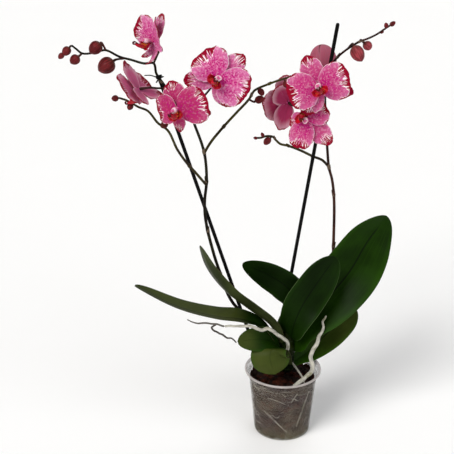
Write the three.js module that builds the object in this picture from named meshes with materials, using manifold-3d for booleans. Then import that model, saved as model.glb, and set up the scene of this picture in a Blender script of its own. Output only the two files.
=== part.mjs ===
// Potted moth orchid: two flower spikes tied to stakes, seven open flowers, buds, leaves and
// aerial roots, growing in bark in a clear nursery pot.
// Millimetres, +Z up, origin at the centre of the pot's base, -Y towards the viewer.

import * as THREE from 'three';
import { mergeVertices } from 'three/addons/utils/BufferGeometryUtils.js';
import Module from 'manifold-3d';

const wasm = await Module();
wasm.setup();

// ---------------------------------------------------------------- driving dimensions

const GAP = 0.3;

const POT_HEIGHT = 108;
const RIM_RADIUS = 60;
const BASE_RADIUS = 44;
const WALL = 1.2;
const COLLAR_HEIGHT = 12;
const DRAIN_HOLES = 6;
const DRAIN_RADIUS = 4.5;
const DRAIN_CIRCLE = 29;
const POT_SIDES = 32;
const TAB = { length: 4, width: 5, thickness: 2, side: -4 };

const BARK_TOP = 97;
const BARK_CROWN = 101;
const ROOT_SPACE = 3.6;

const STAKE_RADIUS = 2.7;
const SPIKE_RADIUS = 2.6;
const BRANCH_RADIUS = 2;
const PEDICEL_RADIUS = 1.5;
const ROOT_RADIUS = 3;
const THIN_ROOT_RADIUS = 2.4;
const SURFACE_ROOT_RADIUS = 1.6;
const FORK_RADIUS = 1.4;
const WALL_ROOT_RADIUS = ROOT_SPACE / 2 - 0.5;

const LEAF_THICKNESS = 2;
const TEPAL_THICKNESS = 1.2;

const COLOURS = {
  pot: ['#b3a9a6', 0.35],
  bark: ['#4a2418', 0.9],
  root: ['#b4ab9c', 0.75],
  stake: ['#0d0d0e', 0.5],
  stem: ['#2b1d16', 0.6],
  clip: ['#111111', 0.5],
  leaf: ['#173a12', 0.4],
  sepal: ['#c8478b', 0.6],
  petal: ['#d857a0', 0.6],
  lip: ['#a80f2b', 0.5],
  bud: ['#6b1c2a', 0.55],
};

// ---------------------------------------------------------------- helpers

const vector = (point) => new THREE.Vector3(...point);

const curveThrough = (points) =>
  new THREE.CatmullRomCurve3(points.map(vector), false, 'centripetal');

function bare(geometry) {
  geometry.deleteAttribute('normal');
  geometry.deleteAttribute('uv');
  return mergeVertices(geometry, 1e-4);
}

function solidOf(geometry) {
  const welded = bare(geometry.clone());
  const vertProperties = Float32Array.from(welded.attributes.position.array);
  const triVerts = Uint32Array.from(welded.index.array);
  return new wasm.Manifold(new wasm.Mesh({ numProp: 3, vertProperties, triVerts }));
}

function geometryOf(solid) {
  const mesh = solid.getMesh();
  const geometry = new THREE.BufferGeometry();
  geometry.setAttribute('position', new THREE.BufferAttribute(mesh.vertProperties, 3));
  geometry.setIndex(new THREE.BufferAttribute(mesh.triVerts, 1));
  return geometry;
}

const joined = (geometries) => geometries.map(solidOf).reduce((sum, next) => sum.add(next));

const cutBy = (solid, tools) => tools.reduce((rest, tool) => rest.subtract(solidOf(tool)), solid);

function mesh(name, look, geometry) {
  const [color, roughness] = COLOURS[look];
  const made = new THREE.Mesh(
    geometry,
    new THREE.MeshStandardMaterial({ color, roughness, metalness: 0 }),
  );
  made.name = name;
  return made;
}

// A round bar along a smooth curve through the points, with flat ends.
function tube(points, radius, { sides = 6, step = 14 } = {}) {
  const path = curveThrough(points);
  const section = new THREE.Shape();
  for (let side = 0; side < sides; side += 1) {
    const angle = (2 * Math.PI * side) / sides;
    const x = radius * Math.cos(angle);
    const y = radius * Math.sin(angle);
    if (side === 0) section.moveTo(x, y);
    else section.lineTo(x, y);
  }
  section.closePath();
  return new THREE.ExtrudeGeometry(section, {
    steps: Math.max(2, Math.round(path.getLength() / step)),
    bevelEnabled: false,
    extrudePath: path,
  });
}

// A closed sheet of even thickness over surface(u, v), with u from 0 to 1 and v from -1 to 1.
function sheet(surface, thickness, rows, columns) {
  const geometry = bare(new THREE.BoxGeometry(1, 1, 1, rows, columns, 1));
  const position = geometry.attributes.position;
  const nudge = 0.01;
  for (let index = 0; index < position.count; index += 1) {
    const u = position.getX(index) + 0.5;
    const v = 2 * position.getY(index);
    const along = surface(u + nudge, v).sub(surface(u - nudge, v));
    const across = surface(u, v + nudge).sub(surface(u, v - nudge));
    const normal = along.cross(across).normalize();
    const point = surface(u, v).addScaledVector(normal, thickness * position.getZ(index));
    position.setXYZ(index, point.x, point.y, point.z);
  }
  return geometry;
}

function egg(length, width, centre, direction) {
  const geometry = new THREE.SphereGeometry(0.5, 8, 6);
  geometry.scale(width, length, width);
  const turn = new THREE.Quaternion();
  turn.setFromUnitVectors(new THREE.Vector3(0, 1, 0), vector(direction).normalize());
  geometry.applyQuaternion(turn);
  geometry.translate(...centre);
  return geometry;
}

// ---------------------------------------------------------------- pot and bark

const wallRadius = (z) => BASE_RADIUS + 0.0968 * z;

function potGeometry() {
  const collar = POT_HEIGHT - COLLAR_HEIGHT;
  const outline = [
    [0, 0],
    [BASE_RADIUS - 2, 0],
    [BASE_RADIUS, 2],
    [wallRadius(collar - 1), collar - 1],
    [wallRadius(collar) + 1.6, collar + 0.6],
    [RIM_RADIUS - 1.8, POT_HEIGHT - 3],
    [RIM_RADIUS, POT_HEIGHT - 2],
    [RIM_RADIUS, POT_HEIGHT],
    [RIM_RADIUS - 2.4, POT_HEIGHT],
    [RIM_RADIUS - 3.2, POT_HEIGHT - 2.6],
    [wallRadius(collar) + 0.4, collar + 1.2],
    [wallRadius(collar - 1) - WALL, collar - 0.6],
    [BASE_RADIUS - WALL, 2.4],
    [BASE_RADIUS - 2.4, WALL],
    [0, WALL],
  ].map(([radius, z]) => new THREE.Vector2(radius, z));
  const shell = new THREE.LatheGeometry(outline, POT_SIDES);
  shell.rotateX(Math.PI / 2);
  const holes = [];
  for (let hole = 0; hole < DRAIN_HOLES; hole += 1) {
    const angle = (2 * Math.PI * (hole + 0.5)) / DRAIN_HOLES;
    const drill = new THREE.CylinderGeometry(DRAIN_RADIUS, DRAIN_RADIUS, 10, 8);
    drill.rotateX(Math.PI / 2);
    drill.translate(DRAIN_CIRCLE * Math.cos(angle), DRAIN_CIRCLE * Math.sin(angle), 0);
    holes.push(drill);
  }
  const tab = new THREE.BoxGeometry(TAB.length, TAB.width, TAB.thickness);
  tab.translate(-RIM_RADIUS - 1, TAB.side, POT_HEIGHT - TAB.thickness);
  return geometryOf(cutBy(joined([shell, tab]), holes));
}

function barkGeometry(sockets) {
  const plugRadius = (z) => wallRadius(z) - WALL - ROOT_SPACE;
  const outline = [
    [0, WALL + GAP],
    [plugRadius(4) - 1.6, WALL + GAP],
    [plugRadius(4), 4],
    [plugRadius(92), 92],
    [plugRadius(92) + 1.8, BARK_TOP - 1],
    [plugRadius(92) - 2, BARK_TOP + 1],
    [24, BARK_CROWN - 0.6],
    [0, BARK_CROWN],
  ].map(([radius, z]) => new THREE.Vector2(radius, z));
  const plug = new THREE.LatheGeometry(outline, 24);
  plug.rotateX(Math.PI / 2);
  return geometryOf(cutBy(solidOf(plug), sockets));
}

// ---------------------------------------------------------------- leaves

// Leaf outline: narrow at the clasping base, at its full width past the middle, blunt at the tip.
// A leaf with a heel is broad at its base and rounded off there.
function leafOutline(u, { base = 0.34, full = 0.5, blunt = 2.1, heel = 0 }) {
  const rise = THREE.MathUtils.smoothstep(u, 0, full);
  const past = Math.max(0, (u - full) / (1 - full));
  const round = u < heel ? Math.sqrt(1 - 0.9 * (1 - u / heel) ** 2) : 1;
  return (base + (1 - base) * rise) * Math.sqrt(1 - Math.min(0.96, past ** blunt)) * round;
}

function leafSurface({ spine, across, width, fold = [30, 8], ...outline }) {
  const curve = curveThrough(spine);
  const sides = across.map((side) => vector(side).normalize());
  return (u, v) => {
    const t = THREE.MathUtils.clamp(u, 0, 1);
    const centre = curve.getPoint(t).addScaledVector(curve.getTangent(t), u - t);
    const tangent = curve.getTangent(t);
    const place = Math.min(t * (sides.length - 1), sides.length - 1.001);
    const station = Math.floor(place);
    const side = sides[station].clone().lerp(sides[station + 1], place - station);
    side.addScaledVector(tangent, -side.dot(tangent)).normalize();
    const upper = new THREE.Vector3().crossVectors(tangent, side);
    const bend = THREE.MathUtils.degToRad(THREE.MathUtils.lerp(fold[0], fold[1], t));
    const reach = 0.5 * width * leafOutline(t, outline);
    return centre
      .addScaledVector(side, v * reach * Math.cos(bend))
      .addScaledVector(upper, Math.abs(v) * reach * Math.sin(bend));
  };
}

const CROWN = { radius: 12, low: BARK_CROWN + GAP, top: 170, centre: [6, 5] };

function crownGeometry(extra) {
  const { radius, low, top } = CROWN;
  const outline = [
    [0, low - extra],
    [radius - 3 + extra, low - extra],
    [radius + extra, low + 8],
    [radius - 2 + extra, low + 30],
    [5 + extra, top - 6],
    [0, top + extra],
  ].map(([r, z]) => new THREE.Vector2(r, z));
  const body = new THREE.LatheGeometry(outline, 12);
  body.rotateX(Math.PI / 2);
  body.translate(...CROWN.centre, 0);
  return body;
}

const LEAVES = {
  leaf_upright: {
    spine: [[12, -4, 164], [17, -8, 192], [28, -8, 222], [47, -3, 253], [63, 6, 274], [78, 12, 292]],
    across: [[-0.6, 0.75, 0.1], [-0.88, 0, 0.42], [-0.78, -0.25, 0.5]],
    width: 60,
    base: 0.75,
    heel: 0.12,
    fold: [18, 4],
  },
  leaf_right_large: {
    spine: [[10, 8, 136], [22, 14, 173], [63, 28, 209], [102, 42, 253], [132, 56, 303], [160, 66, 338]],
    across: [[-0.8, 0.3, 0.5], [-0.88, 0.2, 0.43], [-0.75, -0.4, 0.5]],
    width: 98,
    base: 0.6,
    heel: 0.08,
    blunt: 2.3,
    fold: [32, 13],
  },
  leaf_right_low: {
    spine: [[13, 8, 110], [39, 24, 120], [74, 44, 147], [99, 56, 168], [117, 64, 182]],
    across: [[-0.54, 0.62, 0.58], [-0.61, 0.28, 0.74]],
    width: 58,
  },
  leaf_back_left: {
    spine: [
      [8, 12, 150], [17, 12, 186], [18, 12, 220], [4, 12, 243], [-19, 12, 260], [-41, 12, 272],
      [-64, 12, 282],
    ],
    across: [[-0.85, 0.33, -0.3], [-0.7, 0.23, -0.66], [-0.5, 0.33, -0.78]],
    width: 55,
    fold: [18, 2],
  },
  leaf_left_narrow: {
    spine: [
      [-3, 3, 146], [-20, -4, 184], [-55, -9, 216], [-85, -11, 243], [-113, -10, 282], [-128, -10, 321],
    ],
    across: [[0.45, -0.75, 0.4], [0.3, -0.82, 0.45], [0.35, -0.82, 0.42]],
    width: 55,
    base: 0.4,
    fold: [26, 4],
  },
  leaf_left_long: {
    spine: [
      [-5, -2, 134], [-34, -10, 184], [-66, -13, 198], [-105, -14, 204], [-162, -13, 220], [-228, -10, 255],
    ],
    across: [[0, -1, -0.05], [0, -1, 0.07], [-0.08, -0.99, 0.13]],
    width: 56,
    fold: [24, 12],
  },
  leaf_front_left: {
    spine: [[3, -6, 127], [-7, -15, 150], [-28, -25, 170], [-50, -35, 176], [-72, -44, 178]],
    across: [[0.8, -0.32, -0.31], [0.45, -0.35, -0.82], [0.25, -0.15, -0.95]],
    width: 40,
    fold: [39, -5],
  },
  leaf_front_curled: {
    spine: [
      [5, -8, 118], [-2, -22, 142], [-12, -33, 157], [-20, -41, 162], [-23, -48, 154], [-20, -50, 140],
      [-15, -48, 123],
    ],
    across: [[0.98, -0.1, 0.05], [0.98, -0.05, 0.1], [0.98, 0, -0.1]],
    width: 60,
    full: 0.66,
    blunt: 4,
    fold: [-8, -16],
  },
};

const leafSheet = (settings, extra = 0) =>
  sheet(leafSurface(settings), LEAF_THICKNESS + 2 * extra, 8, 4);

const largest = (solid) =>
  solid.decompose().reduce((best, next) => (next.volume() > best.volume() ? next : best));

// ---------------------------------------------------------------- roots

const AERIAL_LEFT = [
  [-3, -16, 136], [4, -22, 150], [6, -28, 162], [2, -33, 173], [-5, -37, 181], [-13, -40, 188],
  [-20, -43, 196], [-27, -44, 200], [-36, -44, 197], [-43, -44, 200], [-52, -43, 203],
  [-62, -42, 203], [-73, -41, 202], [-83, -40, 202], [-93, -38, 201], [-104, -36, 203],
  [-112, -35, 203], [-125, -34, 204], [-132, -33, 203], [-141, -32, 205], [-148, -31, 208],
];
const AERIAL_LEFT_FORK = [
  [-104, -36, 203], [-111, -35, 197], [-107, -35, 191], [-101, -36, 188], [-95, -37, 186],
  [-88, -39, 181], [-80, -42, 181], [-74, -48, 177],
];
const AERIAL_RIGHT = [
  [14, -42, 96], [24, -42, 107], [34, -38, 113], [42, -34, 120], [44, -30, 128], [42, -27, 136],
  [41, -25, 141], [45, -21, 150], [51, -17, 160], [54, -13, 170], [59, -9, 177], [61, -6, 183],
  [59, -5, 191], [63, -3, 196], [65, -2, 200],
];
const SURFACE_ROOT = [[14, -4, 118], [20, -14, 114], [28, -25, 106], [33, -31, 95]];

// The route of a root that winds round the inside of the wall, between the wall and the bark.
function wallRoot(start, turn, low, high) {
  const points = [];
  const steps = 12;
  for (let step = 0; step <= steps; step += 1) {
    const share = step / steps;
    const angle = THREE.MathUtils.degToRad(start + turn * share);
    const z = low + (high - low) * share + 3 * Math.sin(5 * share);
    const radius = wallRadius(z) - WALL - ROOT_SPACE / 2;
    points.push([radius * Math.cos(angle), radius * Math.sin(angle), z]);
  }
  return points;
}
const WALL_ROOTS = {
  pot_root_upper: wallRoot(324, -26, 82, 26),
  pot_root_lower: wallRoot(224, 64, 52, 12),
};

// ---------------------------------------------------------------- stakes and stems

const STAKES = {
  left_stake: [[-7, 20, 14], [-186, 15, 575]],
  right_stake: [[-24, 29, 14], [67, 14, 650]],
};

const LEFT_SPIKE = [
  [3, 12, 138], [-11, 21, 150], [-44, 27, 172], [-79, 25, 209], [-102, 18, 274], [-112, 13, 313],
  [-118, 10, 342], [-121, 9, 366], [-121, 8, 387], [-118, 6, 419], [-121, 2, 463],
  [-134, 2, 504], [-141, 3, 523], [-162, 6, 544], [-182, 8, 569], [-188, 6, 580],
  [-191, 0, 596], [-204, -5, 597], [-222, -8, 603], [-237, -8, 607], [-256, -10, 617],
  [-264, -10, 616], [-278, -12, 613], [-289, -12, 613], [-297, -14, 620], [-303, -14, 625],
];
const LEFT_LOW_BRANCH = [
  [-118, 6, 411], [-135, -4, 436], [-144, -8, 448], [-159, -12, 472], [-172, -18, 503],
  [-186, -17, 514], [-200, -12, 530], [-214, -8, 535], [-229, -8, 544], [-240, -8, 548],
];
const LEFT_HIGH_BRANCH = [
  [-121, 2, 463], [-110, -4, 483], [-92, -6, 506], [-74, -8, 527], [-57, -8, 546],
  [-50, -8, 558], [-44, -8, 562], [-30, -8, 568], [-14, -8, 574], [0, -8, 578],
];
const RIGHT_SPIKE = [
  [5, 12, 112], [9, 26, 122], [24, 46, 140], [54, 60, 166], [76, 66, 196], [80, 66, 228], [78, 56, 282],
  [74, 38, 376], [69, 30, 411], [63, 26, 433], [59, 24, 468], [56, 23, 498], [54, 23, 529],
  [54, 24, 558], [59, 23, 580], [65, 20, 595], [75, 10, 609], [86, 4, 619], [97, 0, 627],
  [108, 0, 631], [120, 0, 637], [130, 0, 644], [140, 0, 651],
];
const RIGHT_SIDE_BRANCH = [
  [63, 26, 433], [53, 27, 443], [39, 27, 449], [19, 20, 461], [1, 10, 471], [-11, 4, 476],
  [-17, 2, 482], [-22, 0, 488], [-31, 0, 489], [-40, -2, 487], [-46, -2, 487],
];

const SPIKES = {
  left_flower_spike: { route: LEFT_SPIKE, radius: SPIKE_RADIUS },
  right_flower_spike: { route: RIGHT_SPIKE, radius: SPIKE_RADIUS },
};
const BRANCHES = {
  left_spike_low_branch: { route: LEFT_LOW_BRANCH, radius: BRANCH_RADIUS },
  left_spike_high_branch: { route: LEFT_HIGH_BRANCH, radius: BRANCH_RADIUS },
  right_spike_side_branch: { route: RIGHT_SIDE_BRANCH, radius: BRANCH_RADIUS },
};

const stemTube = ({ route, radius }, extra) => tube(route, radius + extra, { sides: 6, step: 10 });

// A small clip that holds the left spike to the top of its stake, with one long prong.
const CLIP = { middle: [-184.6, 11.4, 573.5], height: 5, reach: 5.4, half: 4.4 };

function clipGeometry(tools) {
  const { middle, height, reach, half } = CLIP;
  const outline = new THREE.Shape();
  outline.absarc(0, reach, half, 0, Math.PI);
  outline.absarc(0, -reach, half, Math.PI, 2 * Math.PI);
  const band = new THREE.ExtrudeGeometry(outline, {
    depth: height,
    bevelEnabled: false,
    curveSegments: 4,
  });
  band.translate(0, 0, -height / 2);
  band.rotateX(-0.25);
  band.rotateY(-0.3);
  band.translate(...middle);
  const prong = tube([[-187, 6, 574], [-196, 6, 577], [-205, 6, 577]], 0.7, { step: 9 });
  return geometryOf(cutBy(solidOf(band), tools).add(cutBy(solidOf(prong), tools)));
}

// ---------------------------------------------------------------- flowers

// Each flower stands at the point where its parts meet. It faces along faces, and its dorsal
// sepal points along top. stalk is the route of its stalk back to the stem.
const FLOWERS = [
  {
    centre: [-189, -14, 631], faces: [-0.85, -0.5, 0.1], top: [0.1, 0, 1], size: 0.86, lip: 1.25,
    petals: { right: { angle: 36, lean: 6, cup: 10 }, left: { angle: 158, lean: 6, cup: 10 } },
    sepals: {
      dorsal: { length: 41 },
      right: { angle: -66, lean: -10, cup: 26, length: 40, width: 22 },
      left: { angle: -112, lean: -20, cup: 24, length: 32, width: 17 },
    },
    stalk: [[-182, -8, 618], [-186, -4, 607], [-191, 0, 596]],
  },
  {
    centre: [-213, -18, 562], faces: [-0.72, 0.17, -0.68], top: [-0.62, 0.3, 0.73], size: 0.92,
    stalk: [[-197, -8, 563], [-186, 0, 560], [-174, 7, 558]],
  },
  {
    centre: [-156, -54, 545], faces: [-0.4, -0.91, 0.05], top: [-0.42, 0.25, 0.86], size: 0.95,
    petals: {
      right: { angle: -10, length: 49 },
      left: { angle: 160, lean: -4, cup: -8, length: 44, width: 46 },
    },
    sepals: {
      dorsal: { length: 40, width: 40, lean: -15 },
      left: { angle: -129, length: 40, width: 24, lean: -22 },
    },
    stalk: [[-148, -42, 546], [-148, -18, 542], [-160, 5, 542]],
  },
  {
    centre: [-99, -42, 586], faces: [-0.1, -0.97, 0.2], top: [0.74, 0, 0.67], size: 0.96,
    petals: { right: { angle: 18, width: 60 }, left: { angle: 173, length: 43, width: 60 } },
    sepals: {
      right: { angle: -25, length: 40, width: 34 },
      left: { angle: -126, length: 50, width: 32 },
    },
    stalk: [[-102, -32, 583], [-112, -16, 563], [-124, -6, 546], [-141, 3, 523]],
  },
  {
    centre: [0, 24, 533], faces: [-0.3, 0.95, 0], top: [-0.67, 0.28, 0.68], size: 0.95,
    petals: {
      right: { angle: 32, width: 48, length: 40 },
      left: { angle: 118, width: 34, length: 42 },
    },
    sepals: {
      dorsal: { length: 33, width: 36 },
      right: { angle: -28, length: 40, width: 34 },
      left: { angle: -158 },
    },
    stalk: [[4, 14, 532], [24, 26, 524], [46, 27, 512], [55, 23, 510]],
  },
  {
    centre: [37, -50, 577], faces: [-0.12, -0.97, 0.18], top: [-0.44, 0, 0.9], size: 0.94,
    petals: { right: { angle: -10 }, left: { angle: 174 } },
    sepals: { right: { angle: -36, length: 48 }, left: { angle: -138, width: 36 } },
    stalk: [[40, -40, 575], [60, -14, 566], [62, 10, 562], [54, 24, 556]],
  },
  {
    centre: [24, -31, 523], faces: [-0.3, -0.92, 0.2], top: [0.7, -0.1, -0.68], size: 0.92,
    petals: {
      right: { angle: 27, width: 40 },
      left: { angle: 173, length: 36, width: 42 },
    },
    sepals: { dorsal: { length: 48 }, right: { angle: -28, length: 28 }, left: { angle: -142 } },
    stalk: [[36, -20, 520], [52, -6, 518], [58, 12, 517], [55, 23, 516]],
  },
];

// One sepal or petal in the flower's own frame: x to its right, y up, z forward.
function lobeSurface({ angle, length, width, start = 1, lean, cup, rise, waist = 0.35 }) {
  const direction = THREE.MathUtils.degToRad(angle);
  const slope = Math.tan(THREE.MathUtils.degToRad(lean));
  return (u, v) => {
    const t = THREE.MathUtils.clamp(u, 0, 1);
    const spread = (waist + (1 - waist) * Math.sin(0.5 * Math.PI * Math.min(1, t / 0.5)));
    const past = Math.max(0, (t - 0.45) / 0.57);
    const half = 0.5 * width * spread * Math.sqrt(1 - Math.min(0.93, past ** 2.4));
    const x = start + u * length;
    const y = v * half;
    const z = rise + slope * u * length + cup * u * u - 0.06 * width * v * v * spread;
    return new THREE.Vector3(
      x * Math.cos(direction) - y * Math.sin(direction),
      x * Math.sin(direction) + y * Math.cos(direction),
      z,
    );
  };
}

const SEPALS = {
  dorsal: { angle: 90, length: 44, width: 34, lean: -8, cup: 3 },
  right: { angle: -34, length: 43, width: 30, lean: -10, cup: 2 },
  left: { angle: -146, length: 43, width: 30, lean: -10, cup: 2 },
};
const PETALS = {
  right: { angle: 12, length: 46, width: 56, lean: 2, cup: 2 },
  left: { angle: 168, length: 46, width: 56, lean: 2, cup: 2 },
};
const SEPAL_RISE = -1.7;
const PETAL_RISE = 0.9;
const HUB_RADIUS = 4;

function disc(radius, back, front) {
  const geometry = new THREE.CylinderGeometry(radius, radius, front - back, 6);
  geometry.rotateX(Math.PI / 2);
  geometry.translate(0, 0, (front + back) / 2);
  return geometry;
}

function sepalsGeometry({ size, sepals = {} }, stalk, tools) {
  const lobes = Object.entries(SEPALS).map(([side, sepal]) => {
    const settings = { ...sepal, ...sepals[side], rise: SEPAL_RISE };
    return sheet(lobeSurface(settings), TEPAL_THICKNESS, 4, 2);
  });
  const head = [...lobes, disc(HUB_RADIUS, -6, -GAP)];
  head.forEach((piece) => piece.scale(size, size, size));
  return geometryOf(joined(head).add(cutBy(solidOf(stalk), tools)));
}

function petalsGeometry({ size, petals = {} }) {
  const lobes = Object.entries(PETALS).map(([side, petal]) => {
    const settings = { ...petal, ...petals[side], rise: PETAL_RISE };
    return sheet(lobeSurface(settings), TEPAL_THICKNESS, 4, 3);
  });
  const head = [...lobes, disc(HUB_RADIUS, 0, 1.8)];
  head.forEach((piece) => piece.scale(size, size, size));
  return geometryOf(joined(head));
}

// The lip: a boat-shaped middle lobe, two side lobes that flare round the column, and the column.
function lipGeometry({ size, lip = 1 }) {
  const keel = curveThrough([[0, -5, 5], [0, -9, 10], [0, -11.5, 15], [0, -10.5, 21], [0, -7, 26]]);
  const middle = (u, v) => {
    const half = 2.4 + 4.4 * Math.sin(Math.PI * Math.min(1, 0.12 + 0.8 * u));
    const point = keel.getPoint(THREE.MathUtils.clamp(u, 0, 1));
    return new THREE.Vector3(v * half, point.y + 0.8 * half * v * v, 5 + 22 * u);
  };
  const wing = (side) => (u, v) => {
    const radius = 4 + 12 * u * (1 - 0.2 * v * v);
    const angle = THREE.MathUtils.degToRad(-36 + 36 * side * v);
    return new THREE.Vector3(
      side * radius * Math.cos(angle),
      radius * Math.sin(angle) - 0.5,
      5 + 9 * u - 2 * u * u,
    );
  };
  const column = new THREE.CapsuleGeometry(4.2, 5.4, 2, 6);
  column.rotateX(Math.PI / 2);
  column.translate(0, 0, 9.4);
  const pieces = [
    disc(HUB_RADIUS, 1.8 + GAP, 6),
    column,
    sheet(middle, 1.4, 4, 2),
    sheet(wing(1), 1.2, 3, 2),
    sheet(wing(-1), 1.2, 3, 2),
  ];
  pieces.forEach((piece) => {
    piece.translate(0, 0, -2);
    piece.scale(size, size, size * lip);
    piece.translate(0, 0, 2 * size);
  });
  return geometryOf(joined(pieces));
}

function flowerGroup(flower, number, stems) {
  const forward = vector(flower.faces).normalize();
  const top = vector(flower.top);
  top.addScaledVector(forward, -top.dot(forward)).normalize();
  const right = new THREE.Vector3().crossVectors(top, forward);
  const group = new THREE.Group();
  group.quaternion.setFromRotationMatrix(new THREE.Matrix4().makeBasis(right, top, forward));
  group.position.set(...flower.centre);
  group.updateMatrixWorld();
  const inward = group.matrixWorld.clone().invert();
  const neck = vector(flower.centre).addScaledVector(forward, -4);
  const stalk = tube([neck.toArray(), ...flower.stalk], PEDICEL_RADIUS, { step: 12 });
  stalk.applyMatrix4(inward);
  const tools = stems.map((stem) => stem.clone().applyMatrix4(inward));
  const name = `flower_${number}`;
  group.add(mesh(`${name}_sepals`, 'sepal', sepalsGeometry(flower, stalk, tools)));
  group.add(mesh(`${name}_petals`, 'petal', petalsGeometry(flower)));
  group.add(mesh(`${name}_lip`, 'lip', lipGeometry(flower)));
  return group;
}

// ---------------------------------------------------------------- buds

const BUDS = {
  bud_left_1: { centre: [-256, -14, 596], size: [25, 23], stalk: [[-243, -12, 604], [-230, -8, 605]] },
  bud_left_2: { centre: [-270, -14, 621], size: [20, 18], stalk: [[-262, -12, 628], [-256, -10, 617]] },
  bud_left_3: { centre: [-299, -16, 605], size: [15, 14], stalk: [[-289, -12, 613]] },
  bud_left_4: { centre: [-310, -16, 617], size: [14, 12], stalk: [[-303, -14, 625]] },
  bud_low_1: { centre: [-177, -16, 511], size: [13, 10], stalk: [[-180, -19, 510]] },
  bud_low_2: { centre: [-225, -11, 536], size: [10, 9], stalk: [[-222, -8, 540]] },
  bud_low_3: { centre: [-246, -10, 548], size: [10, 9], stalk: [[-239, -8, 548]] },
  bud_high_1: { centre: [-40, -14, 558], size: [12, 9], stalk: [[-44, -8, 562]] },
  bud_high_2: { centre: [-42, -12, 547], size: [14, 11], stalk: [[-50, -10, 543], [-57, -8, 546]] },
  bud_high_3: { centre: [-5, -13, 569], size: [11, 9], stalk: [[-8, -8, 576]] },
  bud_right_1: { centre: [94, -8, 612], size: [24, 19], stalk: [[87, -2, 624], [81, 6, 615]] },
  bud_right_2: { centre: [109, 8, 619], size: [14, 13], stalk: [[99, 5, 628], [97, 0, 627]] },
  bud_side: { centre: [-30, -5, 483], size: [13, 10], stalk: [[-24, -1, 488]] },
};
const HALF_OPEN = {
  centre: [51, 50, 590],
  size: [40, 37],
  stalk: [[56, 34, 572], [54, 24, 556]],
  top: [-0.2, 0.1, 1],
};

function budGeometry({ centre, size, stalk, top }, tools) {
  const direction = top ?? vector(centre).sub(vector(stalk[0])).toArray();
  const body = egg(size[0], size[1], centre, direction);
  const neck = tube([centre, ...stalk], PEDICEL_RADIUS, { step: 8 });
  return geometryOf(cutBy(joined([body, neck]), tools));
}

// ---------------------------------------------------------------- assembly

const group = new THREE.Group();
group.name = 'potted_orchid';

const stakeTube = (route, extra) => tube(route, STAKE_RADIUS + extra, { sides: 8, step: 1000 });
const stakeTubes = Object.values(STAKES).map((route) => stakeTube(route, GAP));
const sockets = [
  ...stakeTubes,
  tube(AERIAL_RIGHT, ROOT_RADIUS + GAP),
  tube(SURFACE_ROOT, SURFACE_ROOT_RADIUS + GAP),
];
group.add(mesh('pot', 'pot', potGeometry()));
group.add(mesh('bark_medium', 'bark', barkGeometry(sockets)));
group.add(mesh('crown', 'stem', crownGeometry(0)));

Object.entries(STAKES).forEach(([name, route]) => {
  group.add(mesh(name, 'stake', stakeTube(route, 0)));
});

const spikeTools = Object.values(SPIKES).map((spike) => stemTube(spike, GAP));
const stemTools = [...spikeTools, ...Object.values(BRANCHES).map((branch) => stemTube(branch, GAP))];
const crownTool = crownGeometry(GAP);

// Each leaf is fitted round the crown, the stems, the roots that cross it and the leaves before it.
const around = [
  crownTool,
  tube(AERIAL_LEFT, THIN_ROOT_RADIUS + GAP),
  tube(AERIAL_LEFT_FORK, FORK_RADIUS + GAP),
  tube(AERIAL_RIGHT, ROOT_RADIUS + GAP),
  ...stakeTubes,
  ...spikeTools,
];
Object.entries(LEAVES).forEach(([name, settings]) => {
  const leaf = largest(cutBy(solidOf(leafSheet(settings)), around));
  group.add(mesh(name, 'leaf', geometryOf(leaf)));
  around.push(leafSheet(settings, 2 * GAP), leafSheet(settings));
});

const leftRoot = joined([
  tube(AERIAL_LEFT, THIN_ROOT_RADIUS),
  tube(AERIAL_LEFT_FORK, FORK_RADIUS),
]);
group.add(mesh('aerial_root_left', 'root', geometryOf(cutBy(leftRoot, [crownTool]))));
group.add(mesh('aerial_root_right', 'root', tube(AERIAL_RIGHT, ROOT_RADIUS)));
const surfaceRoot = solidOf(tube(SURFACE_ROOT, SURFACE_ROOT_RADIUS));
group.add(mesh('surface_root', 'root', geometryOf(cutBy(surfaceRoot, [crownTool]))));
Object.entries(WALL_ROOTS).forEach(([name, route]) => {
  group.add(mesh(name, 'root', tube(route, WALL_ROOT_RADIUS)));
});

Object.entries(SPIKES).forEach(([name, spike]) => {
  const stem = cutBy(solidOf(stemTube(spike, 0)), [crownTool]);
  group.add(mesh(name, 'stem', geometryOf(stem)));
});
group.add(mesh('stem_clip', 'clip', clipGeometry([stakeTubes[0], spikeTools[0]])));
Object.entries(BRANCHES).forEach(([name, branch]) => {
  group.add(mesh(name, 'stem', geometryOf(cutBy(solidOf(stemTube(branch, 0)), spikeTools))));
});

FLOWERS.forEach((flower, index) => group.add(flowerGroup(flower, index + 1, spikeTools)));

Object.entries(BUDS).forEach(([name, bud]) => {
  group.add(mesh(name, 'bud', budGeometry(bud, stemTools)));
});
group.add(mesh('half_open_flower', 'sepal', budGeometry(HALF_OPEN, spikeTools)));

export default group;
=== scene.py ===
import math
import random

import bmesh
import bpy
import numpy as np
from bpy.props import FloatProperty, FloatVectorProperty, IntProperty, PointerProperty
from bpy.types import Operator, Panel, PropertyGroup
from mathutils import Matrix, Quaternion, Vector, noise


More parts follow.
